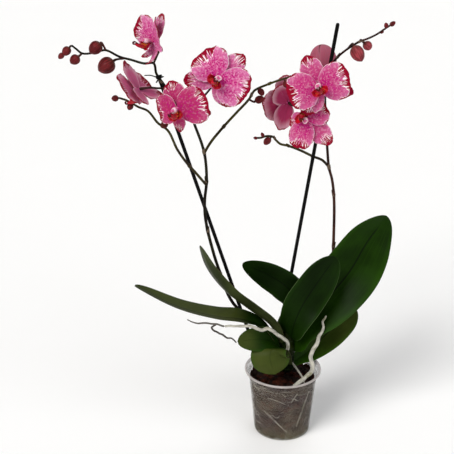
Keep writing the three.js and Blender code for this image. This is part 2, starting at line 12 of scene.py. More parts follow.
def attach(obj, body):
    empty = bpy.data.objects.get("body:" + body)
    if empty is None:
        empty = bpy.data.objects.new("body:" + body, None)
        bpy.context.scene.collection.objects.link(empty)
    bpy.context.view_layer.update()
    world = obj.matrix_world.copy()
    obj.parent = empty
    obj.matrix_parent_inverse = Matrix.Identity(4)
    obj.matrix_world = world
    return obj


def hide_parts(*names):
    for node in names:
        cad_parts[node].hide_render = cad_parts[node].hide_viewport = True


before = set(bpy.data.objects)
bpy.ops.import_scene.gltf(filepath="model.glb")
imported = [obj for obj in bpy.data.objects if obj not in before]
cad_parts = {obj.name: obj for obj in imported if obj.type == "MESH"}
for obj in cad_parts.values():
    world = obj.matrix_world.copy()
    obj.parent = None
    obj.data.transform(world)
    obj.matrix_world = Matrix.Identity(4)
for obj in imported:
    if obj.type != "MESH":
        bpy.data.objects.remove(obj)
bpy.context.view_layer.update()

bl_info = {
    "name": "Potted moth orchid",
    "version": (1, 0, 0),
    "blender": (4, 5, 0),
    "location": "3D View > Sidebar > Orchid",
    "description": "Builds a moth orchid in a clear pot, piece by piece",
    "category": "Add Mesh",
}

MM = 0.001
ROOT = "root"


# ---------------------------------------------------------------- where things stand
# Routes and places in millimetres from the centre of the pot's base, -Y towards the viewer.

LEAVES = {
    "leaf_upright": dict(
        spine=[(12, -4, 164), (17, -8, 192), (28, -8, 222), (47, -3, 253), (63, 6, 274), (78, 12, 292)],
        across=[(-0.6, 0.75, 0.1), (-0.88, 0, 0.42), (-0.78, -0.25, 0.5)],
        width=60, base=0.75, heel=0.12, fold=(18, 4), tone=0.42, wave=0.9, rim_highlight=0.9,
    ),
    "leaf_right_large": dict(
        spine=[(10, 8, 136), (22, 14, 173), (63, 28, 209), (102, 42, 253), (132, 56, 303), (160, 66, 338)],
        across=[(-0.8, 0.3, 0.5), (-0.88, 0.2, 0.43), (-0.75, -0.4, 0.5)],
        width=98, base=0.6, heel=0.08, blunt=2.3, fold=(32, 13), tone=1.0, wave=1.2, mucro=3.0,
    ),
    "leaf_right_low": dict(
        spine=[(13, 8, 110), (39, 24, 120), (74, 44, 147), (99, 56, 168), (117, 64, 182)],
        across=[(-0.54, 0.62, 0.58), (-0.61, 0.28, 0.74)],
        width=58, fold=(30, 8), tone=1.6, wave=0.8, olive=0.85, olive_span=(0.15, 0.6),
    ),
    "leaf_back_left": dict(
        spine=[
            (8, 12, 150), (17, 12, 186), (18, 12, 220), (4, 12, 243), (-19, 12, 260), (-41, 12, 272),
            (-64, 12, 282),
        ],
        across=[(-0.85, 0.33, -0.3), (-0.7, 0.23, -0.66), (-0.5, 0.33, -0.78)],
        width=55, fold=(18, 2), tone=0.35, wave=0.8, mucro=2.5,
    ),
    "leaf_left_narrow": dict(
        spine=[
            (-3, 3, 146), (-20, -4, 184), (-55, -9, 216), (-85, -11, 243), (-113, -10, 282),
            (-128, -10, 321),
        ],
        across=[(0.45, -0.75, 0.4), (0.3, -0.82, 0.45), (0.35, -0.82, 0.42)],
        width=55, base=0.4, fold=(26, 4), tone=0.4, wave=0.7, olive=0.7, olive_span=(0.50, 0.85),
    ),
    "leaf_left_long": dict(
        spine=[
            (-5, -2, 134), (-34, -10, 184), (-66, -13, 198), (-105, -14, 204), (-162, -13, 220),
            (-228, -10, 255),
        ],
        across=[(0, -1, -0.05), (0, -1, 0.07), (-0.08, -0.99, 0.13)],
        width=56, fold=(24, 12), tone=0.35, wave=0.8, olive=1.0, olive_span=(0.30, 0.52),
    ),
    "leaf_front_left": dict(
        spine=[(3, -6, 127), (-7, -15, 150), (-28, -25, 170), (-50, -35, 176), (-72, -44, 178)],
        across=[(0.8, -0.32, -0.31), (0.45, -0.35, -0.82), (0.25, -0.15, -0.95)],
        width=40, fold=(39, -5), tone=0.8, wave=1.4, olive=0.7, olive_span=(0.55, 0.85), midrib_shade=0.3,
    ),
    "leaf_front_curled": dict(
        spine=[
            (5, -8, 118), (-2, -22, 142), (-12, -33, 157), (-20, -41, 162), (-23, -48, 154), (-20, -50, 140),
            (-15, -48, 123),
        ],
        across=[(0.98, -0.1, 0.05), (0.98, -0.05, 0.1), (0.98, 0, -0.1)],
        width=60, full=0.66, blunt=4, fold=(-8, -16), tone=0.9, wave=0.4, olive=1.0, olive_span=(0.2, 0.5),
        midrib_shade=0.2,
    ),
}

CROWN = [(6, 5, 97), (6, 5, 114), (6, 5, 134), (6, 5, 169)]

STAKES = {
    "left_stake": [(-7, 20, 14), (-186, 15, 575)],
    "right_stake": [(-24, 29, 14), (67, 14, 650)],
}

LEFT_SPIKE = [
    (3, 12, 138), (-11, 21, 150), (-44, 27, 172), (-79, 25, 209), (-102, 18, 274), (-112, 13, 313),
    (-118, 10, 342), (-121, 9, 366), (-121, 8, 387), (-118, 6, 419), (-121, 2, 463), (-134, 2, 504),
    (-141, 3, 523), (-162, 6, 544), (-182, 8, 569), (-188, 6, 580), (-191, 0, 596), (-204, -5, 597),
    (-222, -8, 603), (-237, -8, 607), (-256, -10, 617), (-264, -10, 616), (-278, -12, 613),
    (-289, -12, 613), (-297, -14, 620), (-303, -14, 625),
]
RIGHT_SPIKE = [
    (5, 12, 112), (9, 26, 122), (24, 46, 140), (54, 60, 166), (76, 66, 196), (80, 66, 228), (78, 56, 282),
    (74, 38, 376), (69, 30, 411), (63, 26, 433), (59, 24, 468), (56, 23, 498), (54, 23, 529),
    (54, 24, 558), (59, 23, 580), (65, 20, 595), (75, 10, 609), (86, 4, 619), (97, 0, 627),
    (108, 0, 631), (120, 0, 637), (130, 0, 644), (140, 0, 651),
]
BRANCHES = {
    "left_spike_low_branch": [
        (-118, 6, 411), (-135, -4, 436), (-144, -8, 448), (-159, -12, 472), (-172, -18, 503),
        (-186, -17, 514), (-200, -12, 530), (-214, -8, 535), (-229, -8, 544), (-240, -8, 548),
    ],
    "left_spike_high_branch": [
        (-121, 2, 463), (-110, -4, 483), (-92, -6, 506), (-74, -8, 527), (-57, -8, 546),
        (-50, -8, 558), (-44, -8, 562), (-30, -8, 568), (-14, -8, 574), (0, -8, 578),
    ],
    "right_spike_side_branch": [
        (63, 26, 433), (53, 27, 443), (39, 27, 449), (19, 20, 461), (1, 10, 471), (-11, 4, 476),
        (-17, 2, 482), (-22, 0, 488), (-31, 0, 489), (-40, -2, 487), (-46, -2, 487),
    ],
}
# Heights of the joints on each stem, where a dry bract sits.
STEM_JOINTS = {
    "left_flower_spike": [186, 262, 336, 418, 462, 518, 566],
    "right_flower_spike": [150, 212, 292, 384, 432, 478, 512, 560, 600, 626],
    "left_spike_low_branch": [446, 508, 541],
    "left_spike_high_branch": [505, 552, 568],
    "right_spike_side_branch": [449, 470, 486],
}

CLIP = dict(
    middle=(-184.6, 11.4, 573.5),
    prong=[(-187, 6, 574), (-196, 6, 577), (-205, 6, 577)],
    ears=[
        [(-183, 7, 573), (-180, 4, 575), (-177.5, 2, 576.5)],
        [(-186, 5, 571), (-187, 3, 569), (-188.5, 1.5, 567.5)],
    ],
)

AERIAL_LEFT = [
    (-3, -16, 136), (4, -22, 150), (6, -28, 162), (2, -33, 173), (-5, -37, 181), (-13, -40, 188),
    (-20, -43, 196), (-27, -44, 200), (-36, -44, 197), (-43, -44, 200), (-52, -43, 203), (-62, -42, 203),
    (-73, -41, 202),
    (-83, -40, 202), (-93, -38, 201), (-104, -36, 203), (-112, -35, 203), (-125, -34, 204), (-132, -33, 203),
    (-141, -32, 205), (-148, -31, 208),
]
AERIAL_LEFT_FORK = [
    (-104, -36, 203), (-111, -35, 197), (-107, -35, 191), (-101, -36, 188), (-95, -37, 186), (-88, -39, 181),
    (-80, -42, 181), (-74, -48, 177),
]
AERIAL_RIGHT = [
    (14, -42, 96), (24, -42, 107), (34, -38, 113), (42, -34, 120), (44, -30, 128), (42, -27, 136),
    (41, -25, 141), (45, -21, 150), (51, -17, 160), (54, -13, 170), (59, -9, 177), (61, -6, 183),
    (59, -5, 191), (63, -3, 196), (65, -2, 200),
]
SURFACE_ROOT = [(14, -4, 118), (20, -14, 114), (28, -25, 106), (33, -31, 95)]

# Roots along the inside of the wall: start angle, turn, start and end height, radius.
WALL_ROOTS = {
    "pot_root_upper": (324, -26, 82, 26, 1.3),
    "pot_root_lower": (224, 64, 52, 12, 1.3),
}
MORE_WALL_ROOTS = 30

# Each flower stands where its parts meet. It faces along faces, and its dorsal sepal points
# along top. Angles are counter-clockwise from its own x, seen from the front. What a lobe doesn't
# say is as in LOBES. depth is how deep its pink is, and red how large its blotches are.
FLOWERS = [
    dict(
        centre=(-189, -14, 631), faces=(-0.85, -0.5, 0.1), top=(0.1, 0, 1), size=0.86, lip=1.25,
        petals=dict(right=dict(angle=36, lean=6, curl=26), left=dict(angle=158, lean=6, curl=24)),
        sepals=dict(
            dorsal=dict(length=41),
            right=dict(angle=-66, lean=-10, curl=72, length=42, width=18),
            left=dict(angle=-112, lean=-16, curl=76, length=34, width=16),
        ),
        stalk=[(-182, -8, 618), (-186, -4, 607), (-191, 0, 596)],
    ),
    dict(
        centre=(-213, -18, 562), faces=(-0.72, 0.17, -0.68), top=(-0.62, 0.3, 0.73), size=0.92, red=2.0,
        petals={}, sepals=dict(left=dict(width=24)),
        stalk=[(-197, -8, 563), (-186, 0, 560), (-174, 7, 558)],
    ),
    dict(
        centre=(-156, -54, 545), faces=(-0.4, -0.91, 0.05), top=(-0.42, 0.25, 0.86), size=0.95, depth=0.9,
        petals=dict(
            right=dict(angle=-10, length=49),
            left=dict(angle=160, lean=-4, curl=-34, length=44, width=46),
        ),
        sepals=dict(
            dorsal=dict(length=40, width=36, lean=-12),
            left=dict(angle=-129, length=40, width=22, lean=-20),
        ),
        stalk=[(-148, -42, 546), (-148, -18, 542), (-160, 5, 542)],
    ),
    dict(
        centre=(-99, -42, 586), faces=(-0.1, -0.97, 0.2), top=(0.74, 0, 0.67), size=0.96,
        petals=dict(right=dict(angle=18, width=59), left=dict(angle=173, length=43, width=59)),
        sepals=dict(
            right=dict(angle=-25, length=40, width=34),
            left=dict(angle=-126, length=50, width=32),
        ),
        stalk=[(-102, -32, 583), (-112, -16, 563), (-124, -6, 546), (-141, 3, 523)],
    ),
    dict(
        centre=(0, 24, 533), faces=(-0.3, 0.95, 0), top=(-0.67, 0.28, 0.68), size=0.95, depth=0.86, red=0.5,
        petals=dict(
            right=dict(angle=32, width=48, length=40),
            left=dict(angle=118, width=32, length=42),
        ),
        sepals=dict(
            dorsal=dict(length=33, width=33),
            right=dict(angle=-28, length=40, width=34),
            left=dict(angle=-158),
        ),
        stalk=[(4, 14, 532), (24, 26, 524), (46, 27, 512), (55, 23, 510)],
    ),
    dict(
        centre=(37, -50, 577), faces=(-0.12, -0.97, 0.18), top=(-0.44, 0, 0.9), size=0.94, depth=0.74,
        petals=dict(right=dict(angle=-10), left=dict(angle=174)),
        sepals=dict(right=dict(angle=-36, length=48), left=dict(angle=-138, width=36)),
        stalk=[(40, -40, 575), (60, -14, 566), (62, 10, 562), (54, 24, 556)],
    ),
    dict(
        centre=(24, -31, 523), faces=(-0.3, -0.92, 0.2), top=(0.7, -0.1, -0.68), size=0.92, depth=0.74,
        petals=dict(
            right=dict(angle=27, width=40),
            left=dict(angle=173, length=36, width=42),
        ),
        sepals=dict(dorsal=dict(length=48), right=dict(angle=-28, length=28), left=dict(angle=-142)),
        stalk=[(36, -20, 520), (52, -6, 518), (58, 12, 517), (55, 23, 516)],
    ),
]

# Bud: centre, length and width, and the route of its stalk back to the stem.
BUDS = {
    "bud_left_1": ((-256, -14, 596), (25, 23), [(-243, -12, 604), (-230, -8, 605)]),
    "bud_left_2": ((-270, -14, 621), (20, 18), [(-262, -12, 628), (-256, -10, 617)]),
    "bud_left_3": ((-299, -16, 605), (15, 14), [(-289, -12, 613)]),
    "bud_left_4": ((-310, -16, 617), (14, 12), [(-303, -14, 625)]),
    "bud_low_1": ((-177, -16, 511), (13, 10), [(-180, -19, 510)]),
    "bud_low_2": ((-225, -11, 536), (10, 9), [(-222, -8, 540)]),
    "bud_low_3": ((-246, -10, 548), (10, 9), [(-239, -8, 548)]),
    "bud_high_1": ((-40, -14, 558), (12, 9), [(-44, -8, 562)]),
    "bud_high_2": ((-42, -12, 547), (14, 11), [(-50, -10, 543), (-57, -8, 546)]),
    "bud_high_3": ((-5, -13, 569), (11, 9), [(-8, -8, 576)]),
    "bud_right_1": ((94, -8, 612), (24, 19), [(87, -2, 624), (81, 6, 615)]),
    "bud_right_2": ((109, 8, 619), (14, 13), [(99, 5, 628), (97, 0, 627)]),
    "bud_side": ((-30, -5, 483), (13, 10), [(-24, -1, 488)]),
}
# Tiny buds at the ends of the stems: centre, length and width, and the way that they point.
TIP_BUDS = [
    ((141, -1, 652), (9, 6.5), (0.8, 0, 0.6)), ((132, -2, 650), (8, 6), (-0.2, -0.3, 1)),
    ((127, 1, 640), (6, 4.5), (0.9, 0, 0.3)), ((-47, -3, 487), (6, 4.5), (-1, 0, 0.1)),
    ((-37, -3, 492), (7, 5), (-0.5, 0, 1)), ((1, -8, 579), (5, 3.8), (1, 0, 0.4)),
    ((-317.5, -17, 610.5), (10, 8), (-0.7, -0.1, -0.7)),
]
HALF_OPEN = dict(centre=(51, 50, 590), top=(-0.2, 0.1, 1), stalk=[(56, 34, 572), (54, 24, 556)])

# The lobes of a flower. A blotch is a place round the rim in degrees from the tip, its half width and
# its depth.
PETAL = dict(
    lean=4, curl=-14, cross=-0.10, wave=1.0, waves=5, tip=0.0, square=0.82, rise=0.9, start=1.0,
    blotches=[(8, 52, 0.27), (-72, 20, 0.09), (84, 16, 0.07)],
)
SEPAL = dict(
    lean=-7, curl=-10, cross=-0.05, wave=0.5, waves=4, tip=0.10, square=1.0, rise=-1.7, start=0.5,
    blotches=[(0, 44, 0.26)],
)
LOBES = {
    ("petals", "right"): dict(PETAL, angle=12),
    ("petals", "left"): dict(PETAL, angle=168),
    ("sepals", "dorsal"): dict(SEPAL, angle=90, widen=1.1),
    ("sepals", "right"): dict(SEPAL, angle=-34),
    ("sepals", "left"): dict(SEPAL, angle=-146),
}
DEEP_BACK = (0.30, 0.014, 0.070)
OPENING_COLOURS = dict(
    ground=(0.31, 0.070, 0.115), heart=(0.22, 0.040, 0.070), margin=(0.36, 0.12, 0.16),
    pale=(0.5, 0.33, 0.35), edge=(0.12, 0.005, 0.012), deep=(0.22, 0.014, 0.055),
)

# The rest of the values are in metres, apart from counts and shares.
# The plain wall's gain in radius from the base to the collar, over the height between them.
WALL_TAPER = (0.0533 - 0.0440) / 0.096
# How far the bark's dark core and its chunks stay inside the wall, and how far apart its rows and chunks are.
CORE_INSET = 0.0075
CHUNK_INSET = 0.0016
BARK_ROW_GAP = 0.0078
BARK_CHUNK_GAP = 0.0105
TOP_CHUNKS = 210
# The share of a leaf's length up to which its surface is wide enough to have a direction of its own.
LEAF_END = 0.985

FLOOR_HALF = 14.0
# Where each light comes from, its strength, its spread in degrees and its colour.
LIGHTS = {
    "key_light": ((-0.85, -0.95, 1.15), 2.7, 32, (1.0, 0.985, 0.96)),
    "fill_light": ((1.0, -0.9, 0.9), 0.95, 50, (0.97, 0.985, 1.0)),
    "back_light": ((0.5, 1.2, 1.3), 0.7, 50, (1.0, 1.0, 1.0)),
}


# ---------------------------------------------------------------- settings

def length_property(name, description, default):
    return FloatProperty(name=name, description=description, default=default, min=0.0, unit="LENGTH")


def colour_property(name, description, default):
    return FloatVectorProperty(
        name=name, description=description, default=default, size=3, min=0.0, max=1.0, subtype="COLOR"
    )


class PotSettings(PropertyGroup):
    height: length_property("Height", "Height of the pot", 0.108)
    rim_radius: length_property("Rim radius", "Outer radius of the rim", 0.060)
    base_radius: length_property("Base radius", "Outer radius of the base", 0.044)
    wall: length_property("Wall", "Thickness of the plastic", 0.0009)
    collar: length_property("Collar", "Height of the collar under the rim", 0.012)
    bark_top: length_property("Bark level", "Height that the bark reaches", 0.097)
    plastic: colour_property("Plastic", "Colour of the frosted plastic", (0.134, 0.098, 0.075))
    bark: colour_property("Bark", "Colour of the bark", (0.034, 0.008, 0.0035))
    seed: IntProperty(name="Bark seed", description="Seed of the bark's arrangement", default=11)


class LeafSettings(PropertyGroup):
    thickness: length_property("Thickness", "Thickness of a leaf beside its midrib", 0.0021)
    dark: colour_property("Dark green", "Darkest upper side", (0.0022, 0.0060, 0.0012))
    green: colour_property("Green", "Freshest upper side", (0.0085, 0.0300, 0.0006))
    # The olive is laid on the blades partly as their dusty colour and partly as painted light.
    olive: colour_property("Olive", "Dusty yellow green of the older blades", (0.048, 0.060, 0.012))
    under: colour_property("Underside", "Colour of the underside", (0.040, 0.052, 0.016))


class StemSettings(PropertyGroup):
    spike_radius: length_property("Spike radius", "Radius of a flower spike", 0.0026)
    branch_radius: length_property("Branch radius", "Radius of a side branch", 0.0020)
    stalk_radius: length_property("Stalk radius", "Radius of a flower's or bud's stalk", 0.0015)
    stake_radius: length_property("Stake radius", "Radius of a stake", 0.0027)
    root_radius: length_property("Root radius", "Radius of a thick aerial root", 0.0032)
    green: colour_property("Green", "Stem where it is greenest", (0.020, 0.021, 0.009))
    brown: colour_property("Brown", "Stem where it is darkest", (0.006, 0.004, 0.003))
    root: colour_property("Root", "Dry skin of a root", (0.50, 0.48, 0.41))


class FlowerSettings(PropertyGroup):
    petal_length: length_property("Petal length", "Length of a petal", 0.046)
    petal_width: length_property("Petal width", "Width of a petal", 0.056)
    sepal_length: length_property("Sepal length", "Length of a sepal", 0.044)
    sepal_width: length_property("Sepal width", "Width of a sepal", 0.031)
    thickness: length_property("Thickness", "Thickness of a petal", 0.0006)
    pink: colour_property("Pink", "Ground of a petal", (0.52, 0.096, 0.262))
    heart: colour_property("Heart", "Petals towards the middle of a flower", (0.50, 0.030, 0.20))
    deep: colour_property("Deep", "Ground of the darker flowers", (0.33, 0.015, 0.080))
    lilac: colour_property("Lilac", "Outer part of a petal", (0.55, 0.165, 0.34))
    pale: colour_property("Pale rim", "Teeth along the rim", (0.86, 0.76, 0.78))
    crimson: colour_property("Crimson", "Feathered blotches", (0.23, 0.0005, 0.018))
    back: colour_property("Back", "Back of petals and sepals", (0.46, 0.085, 0.195))
    lip: colour_property("Lip", "Lip", (0.36, 0.003, 0.016))
    callus: colour_property("Callus", "Stripes in the throat", (0.66, 0.19, 0.02))
    column: colour_property("Column", "Column", (0.80, 0.52, 0.60))
    bud: colour_property("Bud", "Closed bud", (0.120, 0.013, 0.015))
    red_bud: colour_property("Red bud", "Closed bud on the right spike", (0.27, 0.042, 0.052))


class StageSettings(PropertyGroup):
    floor: colour_property("Floor", "Colour of the floor", (0.93, 0.93, 0.93))
    lens: FloatProperty(
        name="Lens", description="Focal length of the camera", default=86.4, min=1.0, unit="CAMERA"
    )
    eye: FloatVectorProperty(
        name="Camera", description="Place of the camera", default=(-0.088, -1.5, 0.9715),
        subtype="TRANSLATION",
    )
    pitch: FloatProperty(
        name="Pitch", description="Tilt of the camera from straight down", default=math.radians(67.4),
        subtype="ANGLE",
    )


class OrchidSettings(PropertyGroup):
    pot: PointerProperty(type=PotSettings)
    leaves: PointerProperty(type=LeafSettings)
    stems: PointerProperty(type=StemSettings)
    flowers: PointerProperty(type=FlowerSettings)
    stage: PointerProperty(type=StageSettings)


# ---------------------------------------------------------------- curves and shapes

def smoothstep(low, high, value):
    t = min(1.0, max(0.0, (value - low) / (high - low)))
    return t * t * (3 - 2 * t)


def centred(step, steps):
    """From -1 at the first step to 1 at the last."""
    return 2 * step / (steps - 1) - 1


def spoke(side, other, angle):
    """The direction at an angle round an axis, from side towards other."""
    return side * math.cos(angle) + other * math.sin(angle)


def square_axes(direction):
    """The direction and two more, all at right angles."""
    along = direction.normalized()
    side = along.orthogonal().normalized()
    return along, side, along.cross(side)


def travelled(points):
    """How far it is along a path to each of its points."""
    return np.concatenate([[0.0], np.cumsum([(b - a).length for a, b in zip(points, points[1:])])])


def stations_at(points, distances, wanted):
    """Places on a path at the wanted distances along it."""
    axes = [np.interp(wanted, distances, [point[axis] for point in points]) for axis in range(3)]
    return [Vector(point) for point in zip(*axes)]


class Curve:
    """A smooth curve through points, given in millimetres and kept in metres."""

    def __init__(self, points):
        self.points = [Vector(point) * MM for point in points]

    def at(self, t):
        points = self.points
        last = len(points) - 1
        place = min(max(t, 0.0), 1.0) * last
        index = min(int(place), last - 1)
        p1, p2 = points[index], points[index + 1]
        p0 = points[index - 1] if index > 0 else 2 * p1 - p2
        p3 = points[index + 2] if index + 2 <= last else 2 * p2 - p1
        d0, d1, d2 = ((b - a).length ** 0.5 for a, b in ((p0, p1), (p1, p2), (p2, p3)))
        start = ((p1 - p0) / d0 - (p2 - p0) / (d0 + d1) + (p2 - p1) / d1) * d1
        end = ((p2 - p1) / d1 - (p3 - p1) / (d1 + d2) + (p3 - p2) / d2) * d1
        s = place - index
        return (
            p1 * (2 * s**3 - 3 * s**2 + 1)
            + start * (s**3 - 2 * s**2 + s)
            + p2 * (3 * s**2 - 2 * s**3)
            + end * (s**3 - s**2)
        )

    def tangent(self, t):
        return (self.at(min(t + 1e-3, 1.0)) - self.at(max(t - 1e-3, 0.0))).normalized()

    def spaced(self, step):
        """Points along the curve about a step apart."""
        fine = [self.at(i / 400) for i in range(401)]
        distances = travelled(fine)
        wanted = np.linspace(0, distances[-1], max(2, round(distances[-1] / step)) + 1)
        return stations_at(fine, distances, wanted)


class Shape:
    """Vertices, faces and a surface coordinate for each vertex, gathered into one mesh."""

    def __init__(self):
        self.vertices = []
        self.faces = []
        self.coordinates = []
        self.tones = []
        self.blotches = []
        self.slots = []

    def add(self, vertices, faces, coordinates, tone=0.5, slots=None, blotches=None):
        base = len(self.vertices)
        self.vertices.extend(vertices)
        self.coordinates.extend(coordinates)
        self.tones.extend([tone] * len(vertices))
        self.blotches.extend(blotches or [0.0] * len(vertices))
        self.faces.extend([tuple(base + corner for corner in face) for face in faces])
        self.slots.extend(slots or [0] * len(faces))

    def piece(self, name, materials):
        mesh = bpy.data.meshes.new(name)
        mesh.from_pydata([tuple(vertex) for vertex in self.vertices], [], self.faces)
        mesh.polygons.foreach_set("use_smooth", [True] * len(self.faces))
        mesh.polygons.foreach_set("material_index", self.slots)
        corners = np.empty(len(mesh.loops), dtype=np.int32)
        mesh.loops.foreach_get("vertex_index", corners)
        layer = mesh.uv_layers.new(name="surface")
        layer.data.foreach_set("uv", np.array(self.coordinates, dtype=np.float32)[corners].ravel())
        for trait, values in (("tone", self.tones), ("blotch", self.blotches)):
            mesh.attributes.new(trait, "FLOAT", "POINT").data.foreach_set("value", values)
        for material in materials:
            mesh.materials.append(material)
        mesh.update()
        return link_object(name, mesh)


def link_object(name, data):
    thing = bpy.data.objects.new(name, data)
    bpy.context.scene.collection.objects.link(thing)
    return thing


def settle(piece, slot, *nodes):
    """The piece rides on the plant's body and stands for its nodes. Its slot is not used."""
    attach(piece, ROOT)
    if nodes:
        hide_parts(*nodes)
    return piece


def grid_faces(rows, columns, closed=False):
    """Faces of a grid of rows by columns of vertices. A closed grid joins its last column to its first."""
    faces = []
    for row in range(rows - 1):
        for column in range(columns if closed else columns - 1):
            following = (column + 1) % columns
            a, b = row * columns + column, row * columns + following
            faces.append((a, b, b + columns, a + columns))
    return faces


def end_faces(rows, columns):
    """The two faces that shut a closed grid at its first and last rows."""
    size = rows * columns
    return [tuple(reversed(range(columns))), tuple(range(size - columns, size))]


def add_grid(shape, rows, columns, place, closed=False, flip=False, **traits):
    """A sheet, or where closed a bar with shut ends. place(row, column) gives a vertex and its coordinate."""
    vertices, coordinates = zip(*(place(row, column) for row in range(rows) for column in range(columns)))
    faces = grid_faces(rows, columns, closed)
    if closed:
        faces += end_faces(rows, columns)
    if flip:
        faces = [tuple(reversed(face)) for face in faces]
    shape.add(vertices, faces, coordinates, **traits)


def add_tube(shape, points, radius, sides, tone=0.5, squash=None):
    """A round bar along points. radius is a function of the share of its length, and its ends are domed."""
    lengths = travelled(points)
    total = lengths[-1]
    first, last = radius(0.0), radius(1.0)
    dome = [1 - math.cos(step * math.pi / 8) for step in range(5)]
    distances = [first * share for share in dome]
    distances += [d for d in lengths if first * 1.05 < d < total - last * 1.05]
    distances += [total - last * share for share in reversed(dome)]
    stations = stations_at(points, lengths, distances)
    start = points[1] - points[0]
    side = start.orthogonal().normalized()
    rings = []
    for index, (station, distance) in enumerate(zip(stations, distances)):
        ahead = stations[min(index + 1, len(stations) - 1)] - stations[max(index - 1, 0)]
        forward = ahead.normalized() if ahead.length > 1e-9 else start.normalized()
        side = (side - forward * side.dot(forward)).normalized()
        reach = radius(distance / total)
        near_end = min(distance / first, (total - distance) / last)
        if near_end < 1:
            reach *= math.sqrt(max(1 - (1 - near_end) ** 2, 1e-4))
        rings.append((station, side, forward.cross(side), reach, distance))

    def place(row, corner):
        station, side, other, reach, distance = rings[row]
        angle = 2 * math.pi * corner / sides
        factor = squash(distance / total, angle) if squash else 1.0
        return station + spoke(side, other, angle) * reach * factor, (corner / sides, distance)

    add_grid(shape, len(rings), sides, place, closed=True, tone=tone)


def make_tube(name, skin, slot, points, radius, sides, *nodes):
    """A tube that is a piece of its own."""
    shape = Shape()
    add_tube(shape, points, radius, sides)
    settle(shape.piece(name, [skin]), slot, *nodes)


def add_lathe(shape, profile, sides, tone=0.5):
    """A closed turned form. profile is (radius, height) from the axis and back to the axis."""
    rings = profile[1:-1]
    vertices, coordinates = [], []
    for row, (radius, height) in enumerate(rings):
        for corner in range(sides):
            angle = 2 * math.pi * corner / sides
            vertices.append(Vector((radius * math.cos(angle), radius * math.sin(angle), height)))
            coordinates.append((corner / sides, row / len(rings)))
    faces = grid_faces(len(rings), sides, closed=True)
    for (_, height), row in ((profile[0], 0), (profile[-1], len(rings) - 1)):
        pole = len(vertices)
        vertices.append(Vector((0, 0, height)))
        coordinates.append((0.5, row / len(rings)))
        ring = range(row * sides, (row + 1) * sides)
        for corner, following in zip(ring, [*ring[1:], ring[0]]):
            faces.append((pole, following, corner) if row == 0 else (pole, corner, following))
    shape.add(vertices, faces, coordinates, tone)


# ---------------------------------------------------------------- finishes

def shade(colour, factor):
    """The colour made darker, or lighter where the factor is above 1."""
    return tuple(min(1.0, factor * channel) for channel in colour)


def blend(first, second, share):
    return tuple(a + (b - a) * share for a, b in zip(first, second))


class Signal:
    """What a material's node puts out, so that masks can be worked out with plain sums."""

    def __init__(self, finish, socket):
        self.finish = finish
        self.socket = socket

    def __add__(self, other):
        return self.finish.math("ADD", self, other)

    def __radd__(self, other):
        return self.finish.math("ADD", other, self)

    def __sub__(self, other):
        return self.finish.math("SUBTRACT", self, other)

    def __rsub__(self, other):
        return self.finish.math("SUBTRACT", other, self)

    def __mul__(self, other):
        return self.finish.math("MULTIPLY", self, other)

    def __abs__(self):
        return self.finish.math("ABSOLUTE", self)

    def sine(self):
        return self.finish.math("SINE", self)

    def ramp(self, low, high):
        """0 below low, 1 above high and smooth between. With low above high it falls."""
        inputs = {"Value": self, "From Min": low, "From Max": high}
        return self.finish.node("MapRange", inputs, interpolation_type="SMOOTHSTEP")


class Finish:
    """A material made from procedural nodes round one principled shader."""

    def __init__(self, name, **constants):
        self.material = bpy.data.materials.new(name)
        self.material.use_nodes = True
        self.tree = self.material.node_tree
        self.shader = self.tree.nodes["Principled BSDF"]
        for socket, value in constants.items():
            self.shader.inputs[socket.replace("_", " ")].default_value = value

    def feed(self, socket, value):
        if isinstance(value, Signal):
            self.tree.links.new(value.socket, socket)
        elif socket.type == "RGBA":
            socket.default_value = (*value, 1.0)
        else:
            socket.default_value = value

    def set(self, socket, value):
        self.feed(self.shader.inputs[socket], value)

    def node(self, kind, inputs, output=0, **settings):
        """Adds a node, feeds its inputs and gives one of its outputs."""
        node = self.tree.nodes.new(f"ShaderNode{kind}")
        for setting, value in settings.items():
            setattr(node, setting, value)
        for socket, value in inputs.items():
            self.feed(node.inputs[socket], value)
        return Signal(self, node.outputs[output])

    def math(self, operation, first, second=0.0):
        return self.node("Math", {0: first, 1: second}, operation=operation)

    def mix(self, share, first, second):
        return self.node("Mix", {0: share, 6: first, 7: second}, 2, data_type="RGBA")

    def coats(self, colour, *coats):
        """The colour under coats of other colours, each laid on by its mask."""
        for mask, coat in coats:
            colour = self.mix(mask, colour, coat)
        return colour

    def surface(self):
        """The mesh's own surface coordinate, as two numbers."""
        place = self.node("UVMap", {}, uv_map="surface")
        return self.node("SeparateXYZ", {0: place}, 0), self.node("SeparateXYZ", {0: place}, 1)

    def place(self):
        """Where a point is in the object, in metres."""
        return self.node("TexCoord", {}, "Object")

    def height(self):
        return self.node("SeparateXYZ", {0: self.place()}, 2)

    def attribute(self, name):
        return self.node("Attribute", {}, "Fac", attribute_name=name)

    def vector(self, x, y, z=0.0):
        return self.node("CombineXYZ", {0: x, 1: y, 2: z})

    def noise(self, where, scale, detail=2.0, roughness=0.5):
        inputs = {"Vector": where, "Scale": scale, "Detail": detail, "Roughness": roughness}
        return self.node("TexNoise", inputs)

    def drawn_noise(self, x_scale, y_scale, detail=3, roughness=0.5, layer=0.0):
        """Noise over the surface coordinate, drawn out by a scale of its own each way."""
        x, y = self.surface()
        return self.noise(self.vector(x * x_scale, y * y_scale, layer), 1.0, detail, roughness)

    def cells(self, where, scale):
        return self.node("TexVoronoi", {"Vector": where, "Scale": scale}, "Distance")

    def done(self, colour, relief=None, depth=0.0, strength=1.0):
        """Puts on the colour and the fine relief, and gives the material."""
        self.set("Base Color", colour)
        if relief:
            inputs = {"Height": relief, "Distance": depth, "Strength": strength}
            self.set("Normal", self.node("Bump", inputs))
        return self.material


